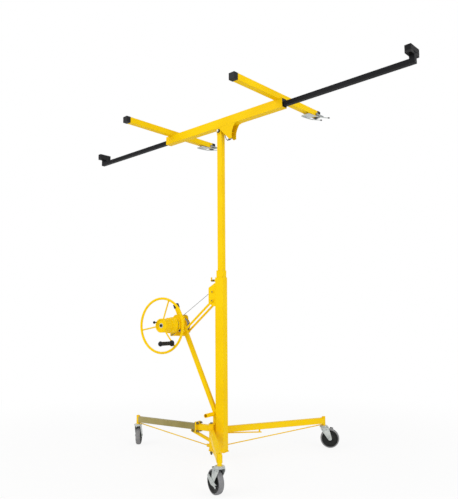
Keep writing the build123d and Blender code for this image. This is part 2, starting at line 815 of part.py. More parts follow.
web_top = winch_z - plate_height / 2 + plate_thickness
with BuildPart() as winch_frame:
    with BuildSketch(on_axle(front_plate_y)) as plate_shape:
        Rectangle(plate_width, plate_height)
        fillet(plate_shape.vertices().group_by(Axis.Y)[-1], plate_corner)
    extrude(amount=plate_thickness)
    rear_width = plate_width / 2 + rear_plate_reach
    with BuildSketch(on_axle(rear_plate_y + plate_thickness)) as plate_shape:
        with Locations((rear_width / 2 - plate_width / 2, 0)):
            Rectangle(rear_width, plate_height)
        fillet(plate_shape.vertices().group_by(Axis.Y)[-1], rear_plate_reach * 0.8)
    extrude(amount=plate_thickness)
    block(
        (winch_x - plate_width / 2, winch_x + rear_plate_reach),
        (front_plate_y - plate_thickness, rear_plate_y + plate_thickness),
        (web_top - plate_thickness, web_top),
    )
    with BuildSketch(on_axle(front_plate_y - plate_thickness)):
        Circle(boss_radius)
    extrude(amount=boss_length)
    with BuildSketch(on_axle(rear_plate_y + plate_thickness)):
        Circle(shaft_radius + running_clearance)
    extrude(amount=rear_plate_y - front_plate_y + 3 * plate_thickness + boss_length, mode=Mode.SUBTRACT)
    sleeve_at = (brace_low_x, front_plate_y - plate_thickness, brace_low_z)
    rod(sleeve_at, ACROSS_Y, sleeve_radius + side_clearance, plate_thickness, mode=Mode.SUBTRACT)
    pawl_at = (winch_x + pawl_pivot[0], front_plate_y - plate_thickness, winch_z + pawl_pivot[1])
    rod(pawl_at, (0, -1, 0), pawl_pin_radius, front_plate_y - plate_thickness - ratchet_y + ratchet_width)
keep(winch_frame.part, "winch_frame")

# Latch that pins the middle tube down for carrying, drawn back here
latch_tip_x = outer_in_low - 0.5
latch_end_x = outer_low - latch_reach
with BuildPart() as mast_latch:
    rod((latch_end_x, 0, latch_z), (1, 0, 0), latch_radius, latch_tip_x - latch_end_x)
    rod((latch_end_x + latch_radius, 0, latch_z), UP, latch_radius, latch_handle)
    with Locations((latch_end_x + latch_radius, 0, latch_z)):
        Sphere(latch_radius)
keep(mast_latch.part, "mast_latch")

# Tripod hub, fixed rear leg and the two folding legs
lug_share = (lug_reach + hinge_x) / (hinge_x - rear_stem_x)
lug_tie_z = tie_low_z + (tie_high_z - tie_low_z) * lug_share
lug_z = (lug_tie_z - 11, lug_tie_z + 9)
with BuildPart() as tripod_hub:
    block((hub_face_x, outer_low), (-hub_side / 2, hub_side / 2), (hub_bottom, hub_top))
    block(
        (hub_face_x + hub_wall, outer_low - hub_wall),
        (-hub_side / 2 + hub_wall, hub_side / 2 - hub_wall),
        (hub_bottom, hub_top),
        mode=Mode.SUBTRACT,
    )
    for ear_z in (low_ear_z, high_ear_z):
        with BuildSketch(Plane.XY.offset(ear_z)):
            with Locations((hinge_x, -hinge_y), (hinge_x, hinge_y)):
                Circle(ear_radius)
            make_hull()
            with Locations((hinge_x, -hinge_y), (hinge_x, hinge_y)):
                Circle(hinge_pin_radius, mode=Mode.SUBTRACT)
        extrude(amount=ear_plate)
    with BuildSketch(Plane.YZ.offset(flange_x)):
        with Locations((0, leg_z)):
            Rectangle(leg_width, leg_height)
            Rectangle(leg_width - 2 * leg_wall, leg_height - 2 * leg_wall, mode=Mode.SUBTRACT)
    extrude(amount=hub_face_x - flange_x)
    with BuildSketch(Plane.YZ.offset(flange_x)):
        with Locations((0, leg_z)):
            RectangleRounded(flange_width, flange_height, 6)
            with GridLocations(2 * flange_bolt_spread, 2.6 * flange_bolt_spread, 2, 2):
                Circle(flange_bolt_radius, mode=Mode.SUBTRACT)
    extrude(amount=flange_thickness)
    block((-lug_reach, hub_face_x), (-lug_thickness / 2, lug_thickness / 2), lug_z)
    rod(barrel_center, ACROSS_Y, barrel_radius, barrel_length)
    rod(barrel_center, ACROSS_Y, barrel_radius - barrel_wall, barrel_length, mode=Mode.SUBTRACT)
    block((hub_face_x, outer_low), (-hub_side / 2, hub_side / 2), (hub_top - hub_wall, hub_top))
    rod(barrel_center, ACROSS_Y, barrel_radius - barrel_wall, barrel_length, mode=Mode.SUBTRACT)
keep(tripod_hub.part, "tripod_hub")


def end_pipe(x, y):
    """The upright socket at a leg's end that takes a caster stem."""
    rod((x, y, pipe_bottom), UP, pipe_radius, pipe_top - pipe_bottom)
    bore = stem_radius + stem_clearance
    rod((x, y, pipe_bottom), UP, bore, pipe_top - pipe_bottom, mode=Mode.SUBTRACT)


with BuildPart() as rear_leg:
    with BuildSketch(Plane.YZ.offset(rear_stem_x)):
        with Locations((0, leg_z)):
            Rectangle(leg_width, leg_height)
            Rectangle(leg_width - 2 * leg_wall, leg_height - 2 * leg_wall, mode=Mode.SUBTRACT)
    extrude(amount=flange_x - rear_stem_x)
    with BuildSketch(Plane.YZ.offset(flange_x - flange_thickness)):
        with Locations((0, leg_z)):
            RectangleRounded(flange_width, flange_height, 6)
            Rectangle(leg_width, leg_height, mode=Mode.SUBTRACT)
            with GridLocations(2 * flange_bolt_spread, 2.6 * flange_bolt_spread, 2, 2):
                Circle(flange_bolt_radius, mode=Mode.SUBTRACT)
    extrude(amount=flange_thickness)
    end_pipe(rear_stem_x, 0)
keep(rear_leg.part, "rear_leg")


def bar_between(start, end, radius):
    """A round bar from one point to another."""
    span = Vector(end) - Vector(start)
    with BuildPart() as bar:
        rod(start, span, radius, span.length)
    return bar.part


rear_tie_end = (rear_stem_x + pipe_radius - 1, 0, tie_high_z)
rear_tie = bar_between((-lug_reach, 0, lug_tie_z), rear_tie_end, tie_radius)
with BuildPart() as rear_tie_rod:
    add(rear_tie)
    rod((rear_stem_x, 0, pipe_bottom), UP, pipe_radius, pipe_top - pipe_bottom, mode=Mode.SUBTRACT)
    block((-lug_reach, hub_face_x), (-hub_side, hub_side), lug_z, mode=Mode.SUBTRACT)
keep(rear_tie_rod.part, "rear_tie_rod")

brace_bolt_z = leg_bottom - 9
brace_bolt_x = rear_brace_x + 6
brace_side_y = -tie_radius - 0.5
with BuildPart() as rear_brace:
    with BuildSketch(Plane.XZ.offset(-brace_side_y)):
        with BuildLine():
            Polyline(
                (hub_face_x, rear_brace_z - rear_brace_depth / 2),
                (hub_face_x, rear_brace_z + rear_brace_depth / 2),
                (rear_brace_x + rear_brace_depth / 2, leg_bottom),
                (rear_brace_x - rear_brace_depth / 2, leg_bottom),
                (rear_brace_x - rear_brace_depth / 2, leg_bottom - 14),
                close=True,
            )
        make_face()
        with Locations((brace_bolt_x, brace_bolt_z)):
            Circle(bolt_radius, mode=Mode.SUBTRACT)
    extrude(amount=rear_brace_width)
    block(
        (flange_x - flange_thickness - 1, flange_x + flange_thickness + 1),
        (-flange_width, flange_width),
        (leg_z - flange_height / 2 - 1, leg_bottom),
        mode=Mode.SUBTRACT,
    )
keep(rear_brace.part, "rear_brace")

pin_bottom = low_ear_z - 9
pin_top = high_ear_z + ear_plate
with BuildPart() as base_bolts:
    for side in (-1, 1):
        rod((hinge_x, side * hinge_y, pin_bottom), UP, hinge_pin_radius, pin_top - pin_bottom)
        hexagon((hinge_x, side * hinge_y, pin_top), UP, hinge_pin_radius * 1.6, 7)
        hexagon((hinge_x, side * hinge_y, low_ear_z), (0, 0, -1), hinge_pin_radius * 1.6, 7)
        for level in (-1, 1):
            bolt_y = side * flange_bolt_spread
            bolt_z = leg_z + level * 1.3 * flange_bolt_spread
            rod((flange_x - flange_thickness - 8, bolt_y, bolt_z), (1, 0, 0), flange_bolt_radius, 34)
            hexagon((flange_x - flange_thickness, bolt_y, bolt_z), (-1, 0, 0), 7, 6)
            hexagon((flange_x + flange_thickness, bolt_y, bolt_z), (1, 0, 0), 7, 10)
    brace_front_y = brace_side_y - rear_brace_width
    rod((brace_bolt_x, brace_front_y, brace_bolt_z), ACROSS_Y, bolt_radius, rear_brace_width)
    hexagon((brace_bolt_x, brace_front_y, brace_bolt_z), (0, -1, 0), bolt_head_radius, bolt_head)
    hexagon((brace_bolt_x, brace_side_y, brace_bolt_z), ACROSS_Y, bolt_head_radius, bolt_head)
keep(base_bolts.part, "base_bolts")

barrel_low = low_ear_z + ear_plate + hinge_gap
barrel_high = high_ear_z - hinge_gap


def folding_leg(side):
    """A leg welded to its hinge barrel and end socket, and the tie rod under it."""
    hinge = Vector(hinge_x, side * hinge_y, 0)
    stem = Vector(side_stem_x, side * side_stem_y, 0)
    leg_start = hinge + UP * (leg_z - leg_rise)
    along = (stem + UP * leg_z - leg_start).normalized()
    level = along.cross(UP).normalized()
    with BuildPart() as leg:
        with BuildSketch(Plane(origin=leg_start, x_dir=level.cross(along), z_dir=along)):
            Rectangle(leg_height, leg_width)
            Rectangle(leg_height - 2 * leg_wall, leg_width - 2 * leg_wall, mode=Mode.SUBTRACT)
        extrude(amount=(stem + UP * leg_z - leg_start).length)
        rod(hinge + UP * barrel_low, UP, hinge_barrel_radius, barrel_high - barrel_low)
        bore = hinge_pin_radius + running_clearance
        rod(hinge + UP * barrel_low, UP, bore, barrel_high - barrel_low, mode=Mode.SUBTRACT)
        end_pipe(stem.X, stem.Y)
    with BuildPart() as tie:
        add(bar_between(hinge + UP * tie_low_z, stem + UP * tie_high_z, tie_radius))
        rod(hinge + UP * barrel_low, UP, hinge_barrel_radius, barrel_high - barrel_low, mode=Mode.SUBTRACT)
        rod(stem + UP * pipe_bottom, UP, pipe_radius, pipe_top - pipe_bottom, mode=Mode.SUBTRACT)
    return leg.part, tie.part.solids().sort_by(SortBy.VOLUME)[-1]


for side, name in ((-1, "front"), (1, "right")):
    leg_piece, tie_piece = folding_leg(side)
    keep(leg_piece, name + "_leg")
    keep(Part(tie_piece.wrapped), name + "_tie_rod")

# Casters: a swivel fork with its axle, a wheel centre and a tyre
cheek_inner = tyre_width / 2 + caster_gap
caster_hub_radius = caster_wheel_radius - tyre_depth
bridge_z = pipe_bottom - race_height


def caster(x, y, angle):
    trail_dir = Vector(cos(radians(angle)), sin(radians(angle)), 0)
    axle_dir = Vector(-trail_dir.Y, trail_dir.X, 0)
    base = Vector(x, y, 0)
    axle = base + trail_dir * caster_trail + UP * caster_wheel_radius
    side_plane = Plane(origin=base, x_dir=trail_dir, z_dir=-axle_dir)
    with BuildPart() as fork:
        rod(base + UP * bridge_z, UP, race_radius, race_height)
        rod(base + UP * bridge_z, UP, stem_radius, race_height + stem_length)
        with BuildSketch(Plane(origin=base + UP * bridge_z, x_dir=trail_dir, z_dir=(0, 0, -1))):
            with Locations((6, 0)):
                Rectangle(56, 2 * (cheek_inner + fork_thickness))
        extrude(amount=fork_thickness)
        for side in (-1, 1):
            start = -cheek_inner if side < 0 else cheek_inner + fork_thickness
            with BuildSketch(side_plane.offset(-start)):
                with Locations((6, bridge_z - 6)):
                    Rectangle(56, 12)
                with Locations((caster_trail, caster_wheel_radius)):
                    Circle(axle_boss_radius)
                make_hull()
            extrude(amount=fork_thickness)
        axle_half = cheek_inner + fork_thickness
        rod(axle - axle_dir * axle_half, axle_dir, fork_axle_radius, 2 * axle_half)
        for side in (-1, 1):
            rod(axle + axle_dir * (side * axle_half), axle_dir * side, axle_end_radius, axle_end)
    with BuildPart() as wheel:
        rod(axle - axle_dir * (caster_hub_width / 2), axle_dir, caster_hub_radius, caster_hub_width)
        for side in (-1, 1):
            face = axle + axle_dir * (side * caster_hub_width / 2)
            rod(face, axle_dir * -side, caster_hub_radius - 8, 5, mode=Mode.SUBTRACT)
        rod(axle - axle_dir * (cheek_inner - 0.3), axle_dir, 14, 2 * (cheek_inner - 0.3))
        bore = fork_axle_radius + running_clearance
        rod(axle - axle_dir * cheek_inner, axle_dir, bore, 2 * cheek_inner, mode=Mode.SUBTRACT)
    with BuildPart() as tyre:
        with BuildSketch(Plane(origin=axle, x_dir=trail_dir, z_dir=(0, 0, 1))):
            with Locations((caster_wheel_radius - tyre_depth / 2, 0)):
                RectangleRounded(tyre_depth, tyre_width, 5)
            with Locations((caster_hub_radius + 3, 0)):
                Rectangle(6, caster_hub_width)
        revolve(axis=Axis(axle, axle_dir))
    return fork.part, wheel.part, tyre.part


caster_places = (
    ("front", side_stem_x, -side_stem_y, front_trail_angle),
    ("right", side_stem_x, side_stem_y, right_trail_angle),
    ("rear", rear_stem_x, 0, rear_trail_angle),
)
for name, x, y, angle in caster_places:
    for kind, piece in zip(("fork", "wheel", "tyre"), caster(x, y, angle)):
        keep(piece, name + "_caster_" + kind)

# Brake lever of the front caster, turning on the axle's end outside the fork
front_dir = Vector(cos(radians(front_trail_angle)), sin(radians(front_trail_angle)), 0)
front_axle_dir = Vector(-front_dir.Y, front_dir.X, 0)
front_axle = Vector(side_stem_x, -side_stem_y, caster_wheel_radius) + front_dir * caster_trail
lever_y = cheek_inner + fork_thickness + lever_clearance
lever_frame = Plane(origin=front_axle + front_axle_dir * lever_y, x_dir=front_dir, z_dir=-front_axle_dir)
with BuildPart() as brake_pedal:
    for end, radius in ((lever_lobe, 11), (lever_toe, 8)):
        with BuildSketch(lever_frame) as half_shape:
            Circle(14)
            with Locations(end):
                Circle(radius)
            make_hull()
        extrude(half_shape.sketch, amount=-lever_plate)
    toe = front_axle + front_dir * lever_toe[0] + UP * lever_toe[1]
    rod(toe + front_axle_dir * lever_y, front_axle_dir, 6, 3 * lever_plate)
    bore = axle_end_radius + lever_clearance
    rod(front_axle, front_axle_dir, bore, lever_y + 2 * lever_plate, mode=Mode.SUBTRACT)
keep(brake_pedal.part, "brake_pedal")

# Head: a round spigot turns in the mast top and carries the tilting saddle
with BuildPart(cradle) as tilt_block:
    with Locations((0, 0, inner_top - spigot_length / 2)):
        Cylinder(spigot_radius, spigot_length + 2 * rest_gap)
    block((-inner_half, inner_half), (-inner_half, inner_half), (block_bottom, pivot_z))
    rod((0, -inner_half, pivot_z), (0, 1, 0), knuckle_radius, inner_side)
    bore = tilt_bolt_radius + running_clearance
    rod((0, -inner_half, pivot_z), (0, 1, 0), bore, inner_side, mode=Mode.SUBTRACT)
    for side in (-1, 1):
        block(
            (side * inner_half - 1.5, side * inner_half + 1.5),
            (-inner_half, inner_half),
            (pivot_z - 6, pivot_z),
            mode=Mode.SUBTRACT,
        )
keep(tilt_block.part, "tilt_block")

tip_z = pivot_z - horn_depth
shelf_z = saddle_low - lock_shelf_drop
knuckle_half = side_hinge_knuckle / 2
with BuildPart(cradle) as saddle:
    floor_x = (-saddle_back, saddle_front)
    block(floor_x, (-beam_half_width, beam_half_width), (saddle_low, saddle_low + saddle_plate))
    for start in (-beam_half_width + horn_thickness, beam_half_width):
        with BuildSketch(cradle_side.offset(-start)):
            with BuildLine():
                Polyline(
                    (horn_top_reach, saddle_low),
                    (-horn_eye_radius, saddle_low),
                    (-horn_eye_radius, pivot_z),
                    (horn_eye_radius, pivot_z),
                    (horn_reach - horn_tip, tip_z),
                    (horn_reach, tip_z + 3),
                )
                ThreePointArc(
                    (horn_reach, tip_z + 3),
                    ((horn_reach + horn_top_reach) / 2 - 12, (tip_z + saddle_low) / 2),
                    (horn_top_reach, saddle_low),
                )
            make_face()
            with Locations((0, pivot_z)):
                Circle(horn_eye_radius)
                Circle(tilt_bolt_radius, mode=Mode.SUBTRACT)
        extrude(amount=horn_thickness)
    horn_inner = beam_half_width - horn_thickness
    block((lock_x - 14, lock_x + 14), (-horn_inner, horn_inner), (shelf_z - 4, shelf_z))
    rod((-knuckle_half, side_hinge_y, side_hinge_z), (1, 0, 0), side_hinge_radius, side_hinge_knuckle)
    pin_start = (-1.5 * side_hinge_knuckle, side_hinge_y, side_hinge_z)
    rod(pin_start, (1, 0, 0), side_hinge_pin_radius, 3 * side_hinge_knuckle)
    block((-knuckle_half, knuckle_half), (beam_half_width - 1, side_hinge_y), (saddle_low, saddle_low + 3))
    bore = lock_radius + running_clearance
    bore_length = lock_shelf_drop + saddle_plate + 4
    rod((lock_x, lock_y, shelf_z - 4), (0, 0, 1), bore, bore_length, mode=Mode.SUBTRACT)
keep(saddle.part, "saddle")

with BuildPart(cradle) as tilt_bolt:
    rod((0, -beam_half_width, pivot_z), (0, 1, 0), tilt_bolt_radius, beam_width)
    for side in (-1, 1):
        rod((0, side * beam_half_width, pivot_z), (0, side, 0), 11, 6)
keep(tilt_bolt.part, "tilt_bolt")

with BuildPart(cradle) as tilt_lock:
    lock_bottom = shelf_z - 4 - lock_tail
    rod((lock_x, lock_y, lock_bottom), (0, 0, 1), lock_radius, beam_bottom - 0.4 - lock_bottom)
    rod((lock_x - 16, lock_y, lock_bottom + 4), (1, 0, 0), 4, 32)
keep(tilt_lock.part, "tilt_lock")

# Cradle: long beam, cross arms with end caps, and sliding end arms
beam_in_half = beam_half_width - beam_wall
beam_in_height = beam_height / 2 - beam_wall
with BuildPart(cradle) as cradle_beam:
    beam_x = (-beam_half_length, beam_half_length)
    block(beam_x, (-beam_half_width, beam_half_width), (beam_bottom, beam_bottom + beam_height))
    block(
        beam_x,
        (-beam_in_half, beam_in_half),
        (beam_z - beam_in_height, beam_z + beam_in_height),
        mode=Mode.SUBTRACT,
    )
    rod((lock_x, lock_y, beam_bottom), (0, 0, 1), lock_radius + 0.3, beam_wall, mode=Mode.SUBTRACT)
    for side in (-1, 1):
        near = side * (knuckle_half + 0.3)
        far = side * 1.5 * side_hinge_knuckle
        low, high = sorted((near, far))
        rod((low, side_hinge_y, side_hinge_z), (1, 0, 0), side_hinge_radius, high - low)
        block((low, high), (beam_half_width - 1, side_hinge_y), (beam_bottom, beam_bottom + 2.5))
        bore = side_hinge_pin_radius + running_clearance
        rod((low, side_hinge_y, side_hinge_z), (1, 0, 0), bore, high - low, mode=Mode.SUBTRACT)
keep(cradle_beam.part, "cradle_beam")

with BuildPart(cradle) as beam_bushes:
    for side in (-1, 1):
        low, high = sorted((side * (beam_half_length - bush_length), side * beam_half_length))
        block((low, high), (-beam_in_half, beam_in_half), (beam_z - beam_in_height, beam_z + beam_in_height))
        hole = arm_side / 2 + bush_clearance
        block((low, high), (-hole, hole), (arm_z - hole, arm_z + hole), mode=Mode.SUBTRACT)
keep(beam_bushes.part, "beam_bushes")

hook_z = cross_z - hook_drop
with BuildPart(cradle) as cross_arms:
    for side in (-1, 1):
        x = side * cross_x
        half = cross_side / 2
        block((x - half, x + half), (-cross_half_length, cross_half_length), (cross_bottom, pad_top))
        half = half - cross_wall
        block(
            (x - half, x + half),
            (-cross_half_length, cross_half_length),
            (cross_z - half, cross_z + half),
            mode=Mode.SUBTRACT,
        )
        rod(
            (x - cross_side, hook_pivot_y, hook_z),
            (1, 0, 0),
            hook_pin_radius + running_clearance,
            2 * cross_side,
            mode=Mode.SUBTRACT,
        )
keep(cross_arms.part, "cross_arms")

with BuildPart(cradle) as arm_caps:
    for side in (-1, 1):
        for end in (-1, 1):
            x = side * cross_x
            half = cross_side / 2 + cap_skin
            skirt, tip = end * (cross_half_length - cap_skirt), end * (cross_half_length + cap_end)
            y_span = tuple(sorted((skirt, tip)))
            block((x - half, x + half), y_span, (cross_z - half, pad_top))
            half = cross_side / 2
            y_span = tuple(sorted((skirt, end * cross_half_length)))
            block((x - half, x + half), y_span, (cross_z - half, pad_top), mode=Mode.SUBTRACT)
keep(arm_caps.part, "arm_caps")

arm_half = arm_side / 2
for side, name in ((-1, "left"), (1, "right")):
    with BuildPart(cradle) as end_arm:
        inner_end, tip = sorted((side * arm_inner_end, side * arm_tip))
        block((inner_end, tip), (-arm_half, arm_half), (arm_z - arm_half, arm_z + arm_half))
        shoe = tuple(sorted((side * arm_inner_end, side * (arm_inner_end + arm_shoe))))
        wide = beam_in_half - bush_clearance
        tall = beam_in_height - bush_clearance
        block(shoe, (-wide, wide), (beam_z - tall, beam_z + tall))
        hollow = arm_half - arm_wall
        block((inner_end, tip), (-hollow, hollow), (arm_z - hollow, arm_z + hollow), mode=Mode.SUBTRACT)
        riser = tuple(sorted((side * (arm_tip - pad_side), side * arm_tip)))
        block(riser, (-arm_half, arm_half), (arm_z - arm_half, pad_top - pad_side))
        block(riser, (-pad_length / 2, pad_length / 2), (pad_top - pad_side, pad_top))
    keep(end_arm.part, name + "_end_arm")

    with BuildPart(cradle) as hook:
        x = side * cross_x
        plate_x = cross_side / 2 + cap_skin + hook_gap
        rod((x - plate_x, hook_pivot_y, hook_z), (1, 0, 0), hook_pin_radius, 2 * plate_x)
        for start in (x - plate_x - hook_plate, x + plate_x):
            with BuildSketch(cradle_end.offset(start)):
                with Locations((hook_pivot_y, hook_z)):
                    Circle(hook_boss_radius)
                with Locations((hook_pivot_y + hook_reach / 2, hook_z)):
                    Rectangle(hook_reach, hook_width)
            extrude(amount=hook_plate)
    keep(hook.part, name + "_hook")

print("lead", round(cable_lead.part.volume / (pi * rope_radius**2), 1), "mm of rope")
print("winding", round(wrap_wire.length, 1), "mm of rope")
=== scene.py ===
from math import asin, atan2, cos, hypot, pi, radians, sin

import bmesh
import bpy
import numpy as np
from mathutils import Matrix, Vector


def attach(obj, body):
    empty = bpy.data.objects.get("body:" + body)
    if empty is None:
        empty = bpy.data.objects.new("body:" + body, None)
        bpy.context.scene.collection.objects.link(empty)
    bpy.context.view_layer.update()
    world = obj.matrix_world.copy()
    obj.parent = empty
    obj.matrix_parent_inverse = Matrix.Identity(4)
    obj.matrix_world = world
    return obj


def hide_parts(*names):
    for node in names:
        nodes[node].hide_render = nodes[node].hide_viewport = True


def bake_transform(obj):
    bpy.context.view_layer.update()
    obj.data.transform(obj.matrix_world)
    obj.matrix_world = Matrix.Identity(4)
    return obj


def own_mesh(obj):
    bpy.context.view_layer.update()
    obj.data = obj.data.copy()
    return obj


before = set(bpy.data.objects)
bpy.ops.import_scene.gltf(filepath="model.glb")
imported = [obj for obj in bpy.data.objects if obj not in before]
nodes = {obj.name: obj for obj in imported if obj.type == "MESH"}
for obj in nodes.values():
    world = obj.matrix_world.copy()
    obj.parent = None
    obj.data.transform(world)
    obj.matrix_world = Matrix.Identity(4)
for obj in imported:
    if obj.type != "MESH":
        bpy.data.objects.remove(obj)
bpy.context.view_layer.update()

UP = np.array([0.0, 0.0, 1.0])
X = np.array([1.0, 0.0, 0.0])
Y = np.array([0.0, 1.0, 0.0])

# Sizes repeated from the part, in metres. They go on to the shader expressions

# Mast: how far its back and sides stand from the axis, its middle and half its depth
MAST_BACK, MAST_HALF = 0.0366, 0.0272
MAST_MIDDLE, MAST_HALF_DEPTH = -0.0047, 0.0319
MAST_FOOT = 0.0495
LATCH_Z, LATCH_SPRING_X = 1.158, -0.0815

# Rope: its radius, its sheaves and its route inside the mast
ROPE = 0.002
ROPE_Y = 0.013
SHEAVE = np.array([-0.056, 0.0, 1.080])
SHEAVE_PITCH = 0.02445
FALL_X, LOOP_X = -0.03155, -0.02325
LOOP_UP_Y, LOOP_DOWN_Y = -0.006, 0.014
LOW_SHEAVE_Z, TOP_SHEAVE_Z = 0.095, 1.115
ROPE_END_Z, FERRULE_Z = 0.972, 0.9727

# Winch: drum, front plate, brake cover, wheel hub, handwheel and grip
WINCH = np.array([-0.354, 0.0, 0.857])
DRUM_PITCH, DRUM_LOOPS, ROPE_STEP = 0.048, 6, 0.0046
PLATE_FRONT, BOSS_RADIUS = -0.0203, 0.0255
COVER_RADIUS, COVER_END = 0.052, -0.0889
WHEEL_HUB, WHEEL_HUB_FRONT, WHEEL_HUB_RECESS = 0.047, -0.2088, 0.006
WHEEL_Y, WHEEL_RADIUS = -0.1998, 0.181
SPOKES = np.radians((70, 190, 310))
GRIP_REACH, GRIP_FACE = 0.150, -0.2053
SHAFT_PAINT = (-0.2031, 1.0)

# Winch strut: mast bracket, brace bars, post and bolts
CHEEK_LOW, CHEEK_HIGH = 0.985, 1.138
BAR_FACE = 0.031
BAR_HIGH, BAR_LOW = np.array([-0.056, 0.0, 1.021]), np.array([-0.3003, 0.0, 0.815])
BOLT_HEAD = 0.006
POST_FACES = (-0.0163, 0.0037)

# Tripod: hub, hinges, flange joint, legs, end pipes and tie rods
TRIPOD_BACK = 0.0606
TRIPOD_HIGH, TRIPOD_HALF = 0.275, 0.020
HINGE = np.array([-0.058, 0.043, 0.0])
HINGE_TOP, HINGE_FOOT, HINGE_NUT_Z, HINGE_TAIL_Z = 0.2231, 0.0519, 0.0429, 0.0410
FLANGE_X, FLANGE = -0.198, 0.005
FLANGE_BOLT_Y, FLANGE_BOLT_Z = 0.020, 0.026
LEG_HALF_WIDTH, LEG_HALF_HEIGHT = 0.015, 0.019
LEG_Z, LEG_RISE = 0.184, 0.014
SIDE_STEM = np.array([0.423, 0.645, 0.0])
REAR_STEM_X, REAR_PIPE_WELD_X = -0.738, -0.7265
# Stretch of the rear leg along X that gets the painted shade, a dark grey-olive in place of the yellow
REAR_LEG_SHADE_STRETCH = (-0.7250, -0.2034)
TIE_LOW, TIE_HIGH = 0.064 * UP, 0.159 * UP

# Casters: name, place of the stem and the way that the wheel trails
CASTER_TRAIL, CASTER_RADIUS = 0.040, 0.065
CASTERS = (
    ("front", SIDE_STEM * (1, -1, 1), radians(156.0)),
    ("right", SIDE_STEM, radians(25.0)),
    ("rear", REAR_STEM_X * X, radians(124.0)),
)
TYRE_HALF, TYRE_SEAT = 0.016, 0.0560
FORK_FACE = 0.0215
LEVER_TOE, LEVER_FACE = (-0.048, -0.014), 0.0219

# Cradle, in its own axes, which are turned about the mast
CRADLE_TURN = radians(-9.2)
BEAM_TOP, BEAM_HALF = 2.2763, 0.0245
CROSS_X, CROSS_HALF = 0.508, 0.020
ARM_TIP, ARM_HALF, ARM_TOP = 1.416, 0.014, 2.2523
PAD, PAD_LOW = 0.030, 2.2863
CAP_SKIN, HOOK_GAP, HOOK_PLATE = 0.0015, 0.005, 0.0025
HOOK_PIN_Y, HOOK_PIN_Z = 0.395, 2.2863
PIVOT_Z, SADDLE_LOW = 2.192, 2.212
HORN_START, HORN_END, HORN_SIDE = 0.026, 0.148, 0.0203
TILT_CHEEK, TILT_BOLT_END = 0.0246, 0.0305
LOCK_X, LOCK_Y, LOCK_SPRING_Z = 0.085, -0.008, 2.171


# Shader expressions
class Value:
    """A socket in an expression; an operator on it adds one Math node to its tree."""

    def __init__(self, shading, socket):
        self.shading = shading
        self.socket = socket

    def __add__(self, other):
        return self.shading.math("ADD", self, other)

    def __rsub__(self, other):
        return self.shading.math("SUBTRACT", other, self)

    def __mul__(self, other):
        return self.shading.math("MULTIPLY", self, other)

    __radd__ = __add__
    __rmul__ = __mul__

    def rise(self, low, high):
        """0 below low and 1 above high, with a smooth step between."""
        sockets = {"Value": self, "From Min": low, "From Max": high}
        return self.shading.node("MapRange", {"interpolation_type": "SMOOTHSTEP"}, sockets)


class Shading:
    """A tree of shader nodes, and the nodes that expressions add to it."""

    def __init__(self, tree):
        self.tree = tree

    def put(self, socket, value):
        if isinstance(value, Value):
            self.tree.links.new(value.socket, socket)
        else:
            socket.default_value = value

    def node(self, kind, settings=None, sockets=None, out=0):
        """Any node: its settings first, then the values or links of its sockets."""
        made = self.tree.nodes.new("ShaderNode" + kind)
        for name, value in (settings or {}).items():
            setattr(made, name, value)
        for name, value in (sockets or {}).items():
            self.put(made.inputs[name], value)
        return Value(self, made.outputs[out])

    def math(self, operation, *values):
        return self.node("Math", {"operation": operation}, dict(enumerate(values)))

    def backdrop_rays(self):
        """1 for a ray from the camera, from a glossy surface or through glass, and 0 for any other."""
        seen = self.node("LightPath", out="Is Camera Ray")
        for ray in ("Is Glossy Ray", "Is Transmission Ray"):
            seen = self.math("MAXIMUM", seen, self.node("LightPath", out=ray))
        return seen


class Finish(Shading):
    """A material with one principled shader, and the patterns that feed it."""

    def __init__(self, name, **surface):
        self.material = bpy.data.materials.new(name)
        self.material.use_nodes = True
        super().__init__(self.material.node_tree)
        self.shader = self.tree.nodes["Principled BSDF"]
        self.set(surface)

    def set(self, sockets):
        for name, value in sockets.items():
            self.put(self.shader.inputs[name.replace("_", " ")], value)

    def place(self):
        return self.node("TexCoord", out="Object")

    def along(self, place, axis):
        return self.node("SeparateXYZ", None, {"Vector": place}, out=axis)

    def stretched(self, place, scale):
        return self.node("Mapping", None, {"Vector": place, "Scale": scale})

    def noise(self, place, scale, detail=2.0, rough=0.5):
        sockets = {"Vector": place, "Scale": scale, "Detail": detail, "Roughness": rough}
        return self.node("TexNoise", None, sockets)

    def mix(self, share, first, second):
        sockets = {"Factor": share, 6: first, 7: second}
        return self.node("Mix", {"data_type": "RGBA"}, sockets, out=2)

    def edges(self, width):
        """Rounded normal near edges, and a value that is 0 on flats and grows on edges."""
        rounded_normal = self.node("Bevel", {"samples": 4}, {"Radius": width})
        flat_normal = self.node("NewGeometry", out="Normal")
        sockets = {0: rounded_normal, 1: flat_normal}
        likeness = self.node("VectorMath", {"operation": "DOT_PRODUCT"}, sockets, out="Value")
        return rounded_normal, 1 - likeness

    def relief(self, height, depth, strength, normal=None):
        sockets = {"Height": height, "Distance": depth, "Strength": strength}
        if normal is not None:
            sockets["Normal"] = normal
        self.set({"Normal": self.node("Bump", None, sockets)})


def tint(red, green, blue):
    """A colour written in screen values from 0 to 255, as the linear colour that the shader takes."""
    screen = np.array([red, green, blue]) / 255
    linear = np.where(screen < 0.04045, screen / 12.92, ((screen + 0.055) / 1.055) ** 2.4)
    return (*linear.tolist(), 1.0)


